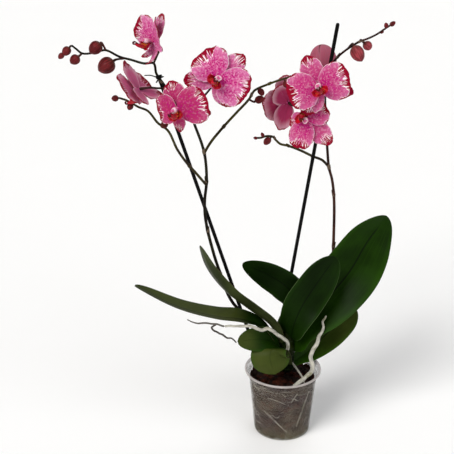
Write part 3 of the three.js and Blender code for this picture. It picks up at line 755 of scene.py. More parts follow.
def plastic_finish(pot):
    """Frosted plastic: hazy, with scratches, wrinkles under the collar, patches and a whiter rim."""
    finish = Finish("frosted_plastic", Roughness=0.24, IOR=1.49, Specular_IOR_Level=0.35)
    where = finish.place()
    height = finish.height()
    around, up = finish.surface()
    rim = height.ramp(0.1035, 0.1055)
    ledge = height.ramp(0.0945, 0.0957) * height.ramp(0.0975, 0.0962)
    foot = height.ramp(0.0035, 0.0005)
    haze = finish.noise(where, 60, 4, 0.6)
    scratches = finish.noise(finish.vector(around, up), 90, 3, 0.6).ramp(0.60, 0.72)
    rings = finish.noise(finish.vector(around * 9.0, height * 420.0), 1.0, 3)
    wrinkles = rings.ramp(0.54, 0.66) * height.ramp(0.066, 0.084)
    patches = finish.noise(finish.vector(around, up, 7.0), 9, 2).ramp(0.50, 0.62)
    edge = finish.node("LayerWeight", {"Blend": 0.35}, "Facing").ramp(0.45, 1.0)
    cover = 0.20 + haze.ramp(0.35, 0.7) * 0.16
    shares = ((edge, 0.03), (scratches, 0.16), (wrinkles, 0.30), (rim, 0.40), (ledge, 0.20), (foot, 0.12))
    for mask, share in shares:
        cover = cover + mask * share
    finish.set("Alpha", finish.math("MINIMUM", cover, 0.95))
    colour = finish.coats(
        finish.mix(haze.ramp(0.3, 0.75), pot.plastic, (0.165, 0.142, 0.105)),
        (patches * 0.6, (0.080, 0.056, 0.064)),
        (height.ramp(0.022, 0.006) * 0.6, (0.170, 0.155, 0.085)),
        (scratches * 0.5, (0.30, 0.28, 0.22)),
        (wrinkles * 0.8, (0.27, 0.25, 0.21)),
        (rim, (0.44, 0.40, 0.385)),
    )
    return finish.done(colour, finish.noise(where, 220, 2), 0.0004, 0.5)


def bark_finish(pot):
    """Bark: a colour for each chunk, rusty where the grain is fresh and nearly black in patches."""
    finish = Finish("bark_chunks", Roughness=0.8, Specular_IOR_Level=0.08)
    where = finish.place()
    grain = finish.noise(where, 420, 5, 0.65)
    red, green, blue = pot.bark
    darkest, lightest = (red * 0.35, green * 0.35, blue * 0.4), (red * 1.5, green * 1.3, blue * 1.2)
    colour = finish.coats(
        finish.mix(finish.attribute("tone"), darkest, lightest),
        (grain.ramp(0.55, 0.72), (0.140, 0.034, 0.016)),
        (finish.noise(where, 60, 3).ramp(0.56, 0.44), (0.007, 0.003, 0.002)),
    )
    finish.set("Roughness", 0.55 + grain * 0.4)
    return finish.done(colour, grain + finish.noise(where, 1500, 2), 0.0012, 0.9)


def root_finish(name, pale, stain):
    """The pale dry skin of a root with stains. A root's withered stretches have a high tone."""
    finish = Finish(name, Roughness=0.7, Specular_IOR_Level=0.3)
    where = finish.place()
    skin = finish.drawn_noise(5.0, 90.0, 4, 0.6)
    colour = finish.coats(
        finish.mix(skin.ramp(0.35, 0.7), shade(pale, 0.55), pale),
        (finish.noise(where, 70, 3).ramp(0.56, 0.68), stain),
        (finish.attribute("tone").ramp(0.6, 1.0), (0.045, 0.036, 0.030)),
    )
    return finish.done(colour, skin + finish.noise(where, 1600, 2) * 0.5, 0.0005, 0.8)


def leaf_finish(leaves, name, leaf):
    """Upper side, dark to green by the leaf's tone, olive towards its tip: part dust, part painted light."""
    finish = Finish(name, Roughness=0.36, Specular_IOR_Level=0.04)
    along, across = finish.surface()
    where = finish.place()
    broad = finish.noise(where, 16, 3)
    strands = finish.drawn_noise(3.0, 70.0)
    fresh = blend(leaves.dark, leaves.green, leaf.tone)
    # Olive towards the tip: partly the blade's own dusty colour, partly painted light where the blade faces
    # the lamps.
    dust_and_light = along.ramp(*leaf.olive_span) * leaf.olive
    dust_and_light = dust_and_light * (0.55 + broad.ramp(0.3, 0.7) * 0.45)
    from_middle = abs(across - 0.5)
    # A dark line down the middle: painted shade in the groove of the midrib.
    groove = from_middle.ramp(0.024, 0.004) * along.ramp(0.95, 0.85)
    colour = finish.coats(
        finish.mix(broad.ramp(0.34, 0.66), shade(fresh, 0.5), fresh),
        (dust_and_light, leaves.olive),
        (strands.ramp(0.45, 0.75) * 0.35, finish.mix(dust_and_light, shade(fresh, 1.6), shade(leaves.olive, 1.35))),
        (groove * leaf.midrib_shade, shade(leaves.dark, 0.4)),
        # Lighter towards both edges, then a thin pale line along the rim: a painted highlight where the
        # margins catch the light.
        (from_middle.ramp(0.36, 0.5) * 0.35, shade(fresh, 2.4)),
        (from_middle.ramp(0.486, 0.496) * max(0.25, leaf.rim_highlight), (0.075, 0.115, 0.045)),
    )
    finish.set("Roughness", 0.34 + broad * 0.16)
    return finish.done(colour, strands * 0.7 + finish.noise(where, 900, 2) * 0.3, 0.0004, 0.5)


def sheath_finish(leaves):
    """Dark clasping bases of the leaves, with the lines where one ends over the next."""
    finish = Finish("crown_skin", Roughness=0.5, Specular_IOR_Level=0.04)
    around, along = finish.surface()
    rings = ((along + around * 0.008) * 520.0).sine()
    red, green, blue = leaves.green
    patch = finish.noise(finish.place(), 60, 3)
    colour = finish.mix(patch.ramp(0.4, 0.65), leaves.dark, (red, 0.45 * green, blue))
    return finish.done(finish.mix(rings.ramp(0.85, 0.98), colour, (0.014, 0.022, 0.008)), rings, 0.0006, 0.6)


def leaf_under_finish(leaves):
    finish = Finish("leaf_underside", Roughness=0.45, Specular_IOR_Level=0.04)
    strands = finish.drawn_noise(2.0, 60.0)
    from_middle = abs(finish.surface()[1] - 0.5)
    patch = finish.noise(finish.place(), 22, 3)
    colour = finish.coats(
        finish.mix(patch.ramp(0.35, 0.7), shade(leaves.under, 0.5), leaves.under),
        (strands.ramp(0.5, 0.75) * 0.4, (0.085, 0.105, 0.035)),
        (from_middle.ramp(0.03, 0.008) * 0.6, (0.10, 0.12, 0.045)),
        (from_middle.ramp(0.485, 0.497), (0.07, 0.045, 0.03)),
    )
    return finish.done(colour, strands, 0.0003, 0.4)


def stem_finish(name, green, brown):
    """Stem skin: green over brown in patches, with lighter streaks."""
    finish = Finish(name, Roughness=0.5, Specular_IOR_Level=0.06)
    where = finish.place()
    streak = finish.drawn_noise(9.0, 60.0)
    colour = finish.mix(finish.noise(where, 28, 4, 0.6).ramp(0.42, 0.66), brown, green)
    colour = finish.mix(streak.ramp(0.52, 0.72) * 0.4, colour, shade(green, 1.7))
    return finish.done(colour, streak + finish.noise(where, 1400, 2) * 0.4, 0.0002, 0.6)


def bract_finish():
    finish = Finish("dry_bract", Roughness=0.75, Specular_IOR_Level=0.3)
    fibre = finish.drawn_noise(30.0, 2.0)
    return finish.done(finish.mix(fibre, (0.045, 0.028, 0.018), (0.17, 0.12, 0.075)), fibre, 0.0002, 0.7)


def black_finish():
    finish = Finish("black_plastic", Roughness=0.5, Specular_IOR_Level=0.04)
    grain = finish.noise(finish.vector(*finish.surface()), 340, 4, 0.6)
    finish.set("Roughness", 0.40 + finish.noise(finish.place(), 300, 2) * 0.25)
    return finish.done(finish.mix(grain, (0.0015, 0.0015, 0.0015), (0.006, 0.006, 0.006)), grain, 0.0002, 0.5)


def bloom_finish(name, ground, heart, margin, pale, edge, deep, dots, red_share=1.0, hem=0.008, outer=0.6):
    """Petal or sepal skin: a ground, crimson blotches with white teeth, and a fine dark rim.

    The ground goes from the heart's colour through its own to the margin's, and to the deep one by the
    flower's tone. dots is how strong a face's spots are, and 0 for a back.
    """
    finish = Finish(
        name, Roughness=0.6, Subsurface_Weight=0.10, Subsurface_Scale=0.004, Specular_IOR_Level=0.05,
        Sheen_Weight=0.03, Sheen_Roughness=0.5,
    )
    outward = finish.surface()[1]
    inward = 1.0 - outward
    where = finish.place()
    blotch = finish.attribute("blotch") * red_share
    teeth = finish.drawn_noise(95.0, 2.0, 1).ramp(0.36, 0.64)
    comb = finish.drawn_noise(110.0, 1.5, 1, layer=9.0)
    veins = finish.drawn_noise(46.0, 1.4, layer=5.0)
    reach = blotch * (0.40 + teeth * 0.70) + hem
    fringe = reach + blotch * comb.ramp(0.42, 0.60) * 0.34
    red = (reach - inward).ramp(-0.010, 0.012)
    white = (fringe - inward).ramp(-0.020, 0.016) * blotch.ramp(0.02, 0.06)
    deepness = finish.attribute("tone").ramp(0.5, 1.0)
    light = 1.0 - deepness * (0.75 if dots else 0.0)
    colour = finish.coats(
        finish.mix(outward.ramp(0.08, 0.62), heart, ground),
        (veins.ramp(0.48, 0.70) * 0.35, heart),
        (deepness, deep),
        (outward.ramp(0.62, 0.98) * (light * outer), margin),
    )
    if dots:
        mottle = finish.noise(where, 330, 2).ramp(0.50, 0.60)
        spots = finish.cells(where, 400).ramp(0.60, 0.34)
        spread = outward.ramp(0.98, 0.45) * finish.noise(where, 110, 2).ramp(0.34, 0.52)
        colour = finish.coats(
            colour,
            (mottle * (light * 0.34), blend(margin, pale, 0.55)),
            (spots * spread * dots, (0.40, 0.004, 0.14)),
        )
    colour = finish.coats(
        colour, ((outward + comb * 0.06).ramp(0.985, 1.015) * 0.75, pale), (white * 0.92, pale)
    )
    if not dots:
        threads = veins.ramp(0.56, 0.70) * outward.ramp(0.35, 0.9)
        colour = finish.mix(threads * 0.36, colour, pale)
    streaks = comb.ramp(0.58, 0.66) * (inward - reach * 0.35).ramp(0.0, 0.03)
    colour = finish.mix(red, colour, finish.mix(streaks, edge, pale))
    return finish.done(colour, veins * 0.8 + finish.noise(where, 1300, 2) * 0.25, 0.0006, 0.6)


def lip_finish(flowers):
    """Crimson, nearly black inside, with a band of orange stripes on its lower half."""
    finish = Finish(
        "lip_skin", Roughness=0.4, Subsurface_Weight=0.08, Subsurface_Scale=0.003, Specular_IOR_Level=0.15
    )
    around, outward = finish.surface()
    patch = finish.noise(finish.place(), 190, 3)
    wavy = outward + (patch - 0.5) * 0.3
    band = wavy.ramp(0.36, 0.44) * wavy.ramp(0.74, 0.60)
    stripes = (around * 34.0).sine().ramp(0.0, 0.6)
    colour = finish.coats(
        finish.mix(patch.ramp(0.35, 0.7), shade(flowers.lip, 0.6), shade(flowers.lip, 1.5)),
        (outward.ramp(0.40, 0.12), (0.060, 0.002, 0.005)),
        (band * stripes * around.ramp(0.30, 0.55), flowers.callus),
        (outward.ramp(0.86, 0.97), (0.36, 0.005, 0.020)),
    )
    return finish.done(colour, patch, 0.0005, 0.5)


def callus_finish(flowers):
    finish = Finish("callus", Roughness=0.4, Subsurface_Weight=0.1, Subsurface_Scale=0.003)
    where = finish.place()
    spots = finish.cells(where, 900).ramp(0.5, 0.2)
    colour = finish.mix(spots, flowers.callus, (0.42, 0.02, 0.01))
    return finish.done(colour, finish.noise(where, 900, 2), 0.0003, 0.6)


def column_finish(flowers):
    """Pink, deeper at its foot, with a pale cap and small spots."""
    finish = Finish(
        "column", Roughness=0.4, Subsurface_Weight=0.15, Subsurface_Scale=0.004, Specular_IOR_Level=0.3
    )
    along = finish.surface()[1]
    where = finish.place()
    colour = finish.coats(
        finish.mix(along.ramp(0.012, 0.004), flowers.column, (0.60, 0.10, 0.26)),
        (along.ramp(0.0145, 0.0165), (0.88, 0.80, 0.80)),
        (finish.cells(where, 900).ramp(0.34, 0.18) * 0.5, (0.52, 0.04, 0.17)),
    )
    return finish.done(colour, finish.noise(where, 700, 2), 0.0003, 0.5)


def bud_finish(name, colour, olive):
    """Bud skin: veins and painted sheen, olive towards its stalk, and painted shade in the three seams
    between its sepals.
    """
    finish = Finish(
        name, Roughness=0.38, Subsurface_Weight=0.05, Subsurface_Scale=0.003, Specular_IOR_Level=0.07
    )
    around, along = finish.surface()
    where = finish.place()
    veins = finish.drawn_noise(26.0, 2.0)
    seam_shade = abs((around * (3 * math.pi)).sine())
    skin = finish.coats(
        finish.mix(finish.noise(where, 70, 3).ramp(0.35, 0.68), shade(colour, 0.5), colour),
        (along.ramp(0.45, 0.0) * 0.7, olive),
        # Light streaks, partly veins and partly painted sheen.
        (veins.ramp(0.48, 0.70) * 0.45, shade(colour, 2.6)),
        # Painted shade in the grooves of the three seams between the sepals.
        (seam_shade.ramp(0.16, 0.04) * 0.7, shade(colour, 0.3)),
    )
    return finish.done(skin, veins + finish.noise(where, 1200, 2) * 0.3, 0.0004, 0.6)


def floor_finish(stage):
    finish = Finish("studio_floor", Roughness=0.9)
    return finish.done(finish.mix(finish.noise(finish.place(), 3, 2), shade(stage.floor, 0.99), stage.floor))


# ---------------------------------------------------------------- pot, bark and roots

def wall_radius(pot, height):
    """Outer radius of the pot's plain wall, from the base to the collar."""
    return pot.base_radius + WALL_TAPER * height


def pot_profile(pot):
    rim, top, wall = pot.rim_radius, pot.height, pot.wall
    low = top - pot.collar - 0.0008
    collar = wall_radius(pot, low) + 0.0014
    outer = [(pot.base_radius - 0.0030, 0.0), (pot.base_radius - 0.0012, 0.0003)]
    outer += [(pot.base_radius - 0.0004, 0.0011), (pot.base_radius, 0.0024)]
    outer += [(wall_radius(pot, h), h) for h in np.linspace(0.006, low - 0.0006, 12)]
    outer += [(wall_radius(pot, low) + 0.0004, low), (collar - 0.0002, low + 0.0005), (collar, low + 0.0012)]
    outer += [(rim - 0.0028, top - 0.0044), (rim - 0.0010, top - 0.0040), (rim - 0.0001, top - 0.0030)]
    outer += [(rim, top - 0.0018), (rim - 0.0003, top - 0.0006), (rim - 0.0012, top)]
    inner = [(rim - 0.0022, top - 0.0001), (rim - 0.0030, top - 0.0010), (rim - 0.0036, top - 0.0030)]
    inner += [(collar - wall, low + 0.0016), (collar - 0.0008 - wall, low + 0.0008)]
    inner += [(wall_radius(pot, h) - wall, h) for h in np.linspace(low - 0.0002, 0.004, 12)]
    inner += [(pot.base_radius - 0.0014, 0.0016), (pot.base_radius - 0.0032, wall)]
    return [(0.0, 0.0), *outer, *inner, (0.0, wall)]


def add_tab(shape, pot):
    """The small moulded tab on the left of the rim."""
    profile = [(0.0, 0.0), (0.0052, 0.0), (0.0062, 0.0007), (0.0056, 0.0015), (0.0012, 0.0017), (0.0, 0.0012)]
    rows = 7

    def place(row, corner):
        share = centred(row, rows)
        out, up = profile[corner]
        outward = -pot.rim_radius + 0.0022 - out * math.sqrt(1 - 0.75 * share * share)
        return Vector((outward, -0.004 + 0.0022 * share, pot.height - 0.0025 + up)), (share, up / 0.0017)

    add_grid(shape, rows, len(profile), place, closed=True)


def cut_drain_holes(piece, count=6, radius=0.0045, circle=0.029):
    """Drills the round holes in the base."""
    cutter = bmesh.new()
    for hole in range(count):
        angle = 2 * math.pi * (hole + 0.5) / count
        place = Matrix.Translation((circle * math.cos(angle), circle * math.sin(angle), 0))
        bmesh.ops.create_cone(
            cutter, cap_ends=True, segments=32, radius1=radius, radius2=radius, depth=0.006, matrix=place
        )
    mesh = bpy.data.meshes.new("drain_drill")
    cutter.to_mesh(mesh)
    cutter.free()
    drill = link_object("drain_drill", mesh)
    cut = piece.modifiers.new("drain holes", "BOOLEAN")
    cut.operation = "DIFFERENCE"
    cut.object = drill
    evaluated = piece.evaluated_get(bpy.context.evaluated_depsgraph_get())
    result = bpy.data.meshes.new_from_object(evaluated)
    piece.modifiers.clear()
    piece.data = result
    bpy.data.objects.remove(drill)


def make_pot(pot):
    shape = Shape()
    add_lathe(shape, pot_profile(pot), 144)
    add_tab(shape, pot)
    piece = shape.piece("clear_pot", [plastic_finish(pot)])
    cut_drain_holes(piece)
    settle(piece, "clear_plastic", "pot")


def chunk_form():
    """A ball of points and faces that every bark chunk is carved from."""
    ball = bmesh.new()
    bmesh.ops.create_icosphere(ball, subdivisions=2, radius=0.5)
    points = [vertex.co.copy() for vertex in ball.verts]
    faces = [tuple(vertex.index for vertex in face.verts) for face in ball.faces]
    ball.free()
    return points, faces


def add_chunk(shape, form, chance, pot, place, turn, size):
    """A broken piece of bark: a squared-off block with chipped faces, pressed flat where it meets the pot."""
    points, faces = form
    shift = Vector([chance.uniform(-50, 50) for _ in range(3)])
    vertices = []
    for point in points:
        blocky = Vector([math.copysign(min(abs(axis) * 1.5, 0.5) ** 0.9 * 0.94, axis) for axis in point])
        rough = noise.noise(point * 2.6 + shift) * 0.16 + noise.noise(point * 6 + shift) * 0.07
        carved = blocky * (1 + rough)
        vertex = turn @ Vector([axis * extent for axis, extent in zip(carved, size)]) + place
        vertex.z = max(vertex.z, pot.wall + 0.0004)
        most = wall_radius(pot, vertex.z) - pot.wall - 0.0005
        reach = math.hypot(vertex.x, vertex.y)
        if reach > most:
            vertex.x *= most / reach
            vertex.y *= most / reach
        vertices.append(vertex)
    coordinates = [(point.x + 0.5, point.y + 0.5) for point in points]
    shape.add(vertices, faces, coordinates, tone=chance.random() ** 1.6)


def make_bark(pot):
    """A bed of chunks in rows against the wall, over a dark core, and a loose layer on top of it."""
    chance = random.Random(pot.seed)
    form = chunk_form()
    material = bark_finish(pot)
    bed = Shape()
    heights = np.linspace(0.003, pot.bark_top - 0.006, 10)
    core = [(wall_radius(pot, height) - CORE_INSET, height) for height in heights]
    add_lathe(bed, [(0.0, 0.0018), *core, (0.0, pot.bark_top - 0.004)], 64, tone=0.0)
    for height in np.arange(0.0065, 0.093, BARK_ROW_GAP):
        around = int(2 * math.pi * wall_radius(pot, height) / BARK_CHUNK_GAP)
        for step in range(around):
            angle = 2 * math.pi * (step + chance.random() * 0.7) / around
            size = [chance.uniform(*limits) for limits in ((0.009, 0.015), (0.004, 0.0055), (0.006, 0.0105))]
            reach = wall_radius(pot, height) - pot.wall - CHUNK_INSET - size[1] / 2
            reach -= chance.uniform(-0.0013, 0.0016)
            level = height + chance.uniform(-0.0016, 0.0016)
            place = Vector((reach * math.cos(angle), reach * math.sin(angle), level))
            turn = Matrix.Rotation(angle + math.pi / 2, 3, "Z")
            turn = turn @ Matrix.Rotation(chance.uniform(-0.9, 0.9), 3, "Y")
            add_chunk(bed, form, chance, pot, place, turn, size)
    settle(bed.piece("bark_bed", [material]), "bark", "bark_medium")
    top = Shape()
    for _ in range(TOP_CHUNKS):
        size = [chance.uniform(*limits) for limits in ((0.008, 0.016), (0.006, 0.010), (0.004, 0.0075))]
        reach = (0.0515 - 0.62 * size[0]) * math.sqrt(chance.random())
        angle = chance.uniform(0, 2 * math.pi)
        level = pot.bark_top + 0.0025 - 0.0035 * (reach / 0.05) ** 2 + chance.uniform(-0.0035, 0.0025)
        place = Vector((reach * math.cos(angle), reach * math.sin(angle), level - size[2] / 2))
        turn = Matrix.Rotation(chance.uniform(0, 2 * math.pi), 3, "Z")
        for axis in "XY":
            turn = turn @ Matrix.Rotation(chance.uniform(-0.5, 0.5), 3, axis)
        add_chunk(top, form, chance, pot, place, turn, size)
    settle(top.piece("bark_top_layer", [material]), "bark")


def wall_root_route(pot, start, turn, low, high, radius, sway=3, beats=5):
    """Points in metres of a root that lies against the inside of the wall."""
    points = []
    steps = 12
    for step in range(steps + 1):
        share = step / steps
        angle = math.radians(start + turn * share)
        height = low + (high - low) * share + sway * math.sin(beats * share)
        reach = wall_radius(pot, height * MM) / MM - 1.2 - 0.35 - radius
        points.append((reach * math.cos(angle), reach * math.sin(angle), height))
    return Curve(points).spaced(0.002)


def wander(points, amount, pitch, seed):
    """The same route with the small kinks of a living root."""
    kinked = []
    for index, point in enumerate(points):
        where = point / pitch + Vector((seed, seed * 2.3, seed * 3.1))
        drift = Vector([noise.noise(where + Vector((apart, 0, 0))) for apart in (0, 31.4, 57.7)])
        kinked.append(point + drift * amount * smoothstep(0, 6, index))
    return kinked


def knobbly(radius, seed, end=0.45, swell=0.12):
    """Root thickness along its length: slow swellings and a tapered tip."""
    def thickness(share):
        broad = noise.noise(Vector((share * 22, seed, 0)))
        fine = noise.noise(Vector((share * 60, seed, 4)))
        lumps = 1 + swell * broad + 0.5 * swell * fine
        return radius * lumps * (1 - (1 - end) * smoothstep(0.55, 1.0, share))
    return thickness


def make_roots(pot, stems):
    skin = root_finish("root_skin", stems.root, (0.20, 0.19, 0.12))
    wall_skin = root_finish("wall_root_skin", shade(stems.root, 0.85), (0.16, 0.17, 0.09))
    for number, (node, (start, turn, low, high, radius)) in enumerate(WALL_ROOTS.items()):
        route = wall_root_route(pot, start, turn, low, high, radius)
        make_tube(f"{node}_skin", wall_skin, "root", route, knobbly(radius * MM, number, 0.8, 0.08), 12, node)
    more = Shape()
    chance = random.Random(pot.seed + 1)
    for number in range(MORE_WALL_ROOTS):
        start, turn = chance.uniform(0, 360), chance.choice((-1, 1)) * chance.uniform(12, 48)
        low, radius = chance.uniform(10, 88), chance.uniform(0.5, 1.2)
        high = min(90, max(8, low + chance.uniform(-26, 26)))
        sway, beats = chance.uniform(1, 4), chance.uniform(3, 8)
        route = wall_root_route(pot, start, turn, low, high, radius, sway, beats)
        add_tube(more, route, knobbly(radius * MM, 5 + number, 0.4, 0.14), 12)
    settle(more.piece("more_pot_roots", [wall_skin]), "root")

    radius = stems.root_radius
    left = Shape()
    route = wander(Curve(AERIAL_LEFT).spaced(0.002), 0.0009, 0.012, 1.0)
    withered = int(len(route) * 0.72)
    add_tube(left, route[:withered + 1], knobbly(radius * 0.84, 1.0, 0.62), 18)
    add_tube(left, route[withered:], knobbly(radius * 0.44, 2.0, 0.6), 14, tone=0.9)
    fork = wander(Curve(AERIAL_LEFT_FORK).spaced(0.0016), 0.0014, 0.008, 6.0)
    add_tube(left, fork, knobbly(radius * 0.46, 3.0, 0.7), 12, tone=1.0)
    settle(left.piece("left_aerial_root", [skin]), "root", "aerial_root_left")

    route = wander(Curve(AERIAL_RIGHT).spaced(0.002), 0.0008, 0.012, 3.0)
    make_tube("right_aerial_root", skin, "root", route, knobbly(radius, 4.0, 0.5), 18, "aerial_root_right")
    route = wander(Curve(SURFACE_ROOT).spaced(0.002), 0.0008, 0.012, 2.0)
    make_tube("small_surface_root", skin, "root", route, knobbly(radius * 0.5, 5.0, 0.6), 14, "surface_root")


# ---------------------------------------------------------------- leaves

def leaf_outline(u, base, full, blunt, heel):
    """Half width of a leaf as a share of its widest. A leaf with a heel is broad and round at its base."""
    past = max(0.0, (u - full) / (1 - full))
    rounded = math.sqrt(1 - 0.96 * (1 - u / heel) ** 2) if u < heel else 1.0
    return (base + (1 - base) * smoothstep(0, full, u)) * math.sqrt(max(1 - past**blunt, 0.0)) * rounded


class Leaf:
    """A leaf blade folded about its midrib: place(u, v) with u along it and v from edge to edge."""

    def __init__(self, spine, across, width, fold, tone, wave, base=0.34, full=0.5, blunt=2.1, heel=0.0,
                 mucro=0.0, olive=0.0, olive_span=(0.3, 0.8), rim_highlight=0.0, midrib_shade=0.8):
        self.curve = Curve(spine)
        self.sides = [Vector(side).normalized() for side in across]
        self.width = width * MM
        self.fold = fold
        self.wave = wave * MM
        self.outline = (base, full, blunt, heel)
        self.mucro = mucro * MM
        self.tone = tone
        self.olive = olive
        self.olive_span = olive_span
        self.rim_highlight = rim_highlight
        self.midrib_shade = midrib_shade

    def frame(self, u):
        tangent = self.curve.tangent(u)
        place = min(u * (len(self.sides) - 1), len(self.sides) - 1.001)
        station = int(place)
        side = self.sides[station].lerp(self.sides[station + 1], place - station)
        side = (side - tangent * side.dot(tangent)).normalized()
        return side, tangent.cross(side)

    def place(self, u, v):
        side, upper = self.frame(u)
        reach = 0.5 * self.width * leaf_outline(u, *self.outline)
        bend = math.radians(self.fold[0] + (self.fold[1] - self.fold[0]) * u)
        soft = math.sqrt(v * v + 0.006) - math.sqrt(0.006)
        ripple = self.wave * v * abs(v) * math.sin(9 * u + 2.5 * v + self.width * 90)
        ripple *= smoothstep(0.1, 0.5, u)
        return (
            self.curve.at(u)
            + side * (v * reach * math.cos(bend))
            + upper * (soft * reach * math.sin(bend) + ripple)
        )

    def normal(self, u, v):
        low, high = max(u - 0.01, 0.0), min(u + 0.01, LEAF_END)
        along = self.place(high, v) - self.place(min(low, high - 0.01), v)
        across = self.place(u, min(v + 0.05, 1)) - self.place(u, max(v - 0.05, -1))
        return along.cross(across).normalized()


def add_leaf(shape, leaf, thickness):
    """A closed blade, thick along the middle and thin at its rim. The underside takes slot 1."""
    rows, half = 72, 15
    edges = [math.sin(0.5 * math.pi * centred(step, half)) for step in range(half)]
    around = [(0.5, v) for v in edges] + [(-0.5, v) for v in reversed(edges[1:-1])]

    def place(row, column):
        u = min(0.5 - 0.5 * math.cos(math.pi * row / (rows - 1)), 0.9995)
        sign, v = around[column]
        fade = 1 - 0.5 * smoothstep(0.7, 1.0, u)
        plump = math.sqrt(max(1 - v * v, 0.0)) * 0.7 + 0.3 * (1 - abs(v)) ** 0.5
        offset = leaf.normal(min(u, LEAF_END), v) * (sign * thickness * plump * fade)
        return leaf.place(u, v) + offset, (u, 0.5 + 0.5 * v)

    row_slots = [0 if column < half - 1 else 1 for column in range(len(around))]
    add_grid(shape, rows, len(around), place, closed=True, slots=[*row_slots * (rows - 1), 1, 1])


def add_mucro(shape, leaf):
    """The small hook at the leaf's end."""
    side, _ = leaf.frame(1.0)
    start, ahead = leaf.place(LEAF_END, 0), leaf.curve.tangent(1.0)
    end = start + ahead * leaf.mucro + side * (-0.3 * leaf.mucro)
    hook = [start, start + ahead * (0.6 * leaf.mucro), end]
    points = Curve([point / MM for point in hook]).spaced(0.0004)
    add_tube(shape, points, lambda share: (1.3 - 0.8 * share) * MM, 10)


def make_leaves(leaves):
    under = leaf_under_finish(leaves)
    for node, settings in LEAVES.items():
        leaf = Leaf(**settings)
        shape = Shape()
        add_leaf(shape, leaf, leaves.thickness)
        if leaf.mucro:
            add_mucro(shape, leaf)
        piece = shape.piece(f"{node}_blade", [leaf_finish(leaves, f"{node}_skin", leaf), under])
        settle(piece, "leaf", node)
    make_tube(
        "leaf_crown", sheath_finish(leaves), "stem", Curve(CROWN).spaced(0.003),
        lambda share: 0.0120 - 0.0045 * smoothstep(0.55, 1.0, share), 28, "crown",
    )


# ---------------------------------------------------------------- stakes, stems and clip

def make_stakes(stems, skin):
    steps = 60
    for node, ends in STAKES.items():
        bottom, top = (Vector(end) * MM for end in ends)
        route = [bottom.lerp(top, step / steps) for step in range(steps + 1)]
        make_tube(f"{node}_rod", skin, "stake", route, lambda share: stems.stake_radius, 24, node)


def add_bract(shape, point, along, radius, length, turn):
    """A dry scale that wraps half round a stem and ends in a point. It has an outer and an inner layer."""
    side = Quaternion(along, turn) @ along.orthogonal().normalized()
    other = along.cross(side)
    rows, columns = 7, 13
    vertices, coordinates = [], []
    for layer in (1.0, 0.0):
        for row in range(rows):
            share = row / (rows - 1)
            spread = math.radians(150) * (1 - share) ** 0.8 + 0.05
            gap = radius * (1.04 + 0.30 * share**2) + 0.00025 * layer
            for column in range(columns):
                out = spoke(side, other, spread * centred(column, columns))
                vertices.append(point + out * gap + along * (length * (share - 0.15)))
                coordinates.append((column / (columns - 1), share))
    size = rows * columns
    front = grid_faces(rows, columns)
    back = [tuple(size + corner for corner in reversed(face)) for face in front]
    border = [*range(columns), *(row * columns + columns - 1 for row in range(1, rows))]
    border += [size - 1 - step for step in range(1, columns)]
    border += [row * columns for row in range(rows - 2, 0, -1)]
    edge = [(b, a, a + size, b + size) for a, b in zip(border, [*border[1:], border[0]])]
    shape.add(vertices, front + back + edge, coordinates)


def stem_thickness(radius, end, joints):
    """Radius along a stem, swollen a little at its joints."""
    def thickness(share):
        swell = sum(math.exp(-(((share - joint) / 0.008) ** 2)) for joint in joints)
        return radius * (1 - (1 - end) * share**1.5) * (1 + 0.16 * swell)
    return thickness


def make_stem(node, route, radius, end, skin, bract_skin, bract_length):
    """A stem with a bract at each of its joints. end is its radius at the tip as a share."""
    points = Curve(route).spaced(0.0022)
    places = []
    for height in STEM_JOINTS[node]:
        places.append(min(range(len(points)), key=lambda index: abs(points[index].z - height * MM)))
    joints = [place / (len(points) - 1) for place in places]
    thickness = stem_thickness(radius, end, joints)
    make_tube(f"{node}_stem", skin, "stem", points, thickness, 18, node)
    scales = Shape()
    for number, (place, joint) in enumerate(zip(places, joints)):
        ahead = points[min(place + 2, len(points) - 1)] - points[max(place - 2, 0)]
        turn = 2.4 * number + 0.8
        add_bract(scales, points[place], ahead.normalized(), thickness(joint), bract_length, turn)
    settle(scales.piece(f"{node}_bracts", [bract_skin]), "stem")


def make_stems(stems):
    skin = stem_finish("stem_skin", stems.green, stems.brown)
    red = stem_finish("red_stem_skin", (0.060, 0.022, 0.015), (0.020, 0.007, 0.006))
    olive = stem_finish("branch_skin", (0.052, 0.046, 0.012), (0.018, 0.012, 0.007))
    dry = bract_finish()
    make_stem("left_flower_spike", LEFT_SPIKE, stems.spike_radius, 0.55, skin, dry, 0.009)
    make_stem("right_flower_spike", RIGHT_SPIKE, stems.spike_radius, 0.5, red, dry, 0.009)
    for node, route in BRANCHES.items():
        make_stem(node, route, stems.branch_radius, 0.75, olive, dry, 0.006)


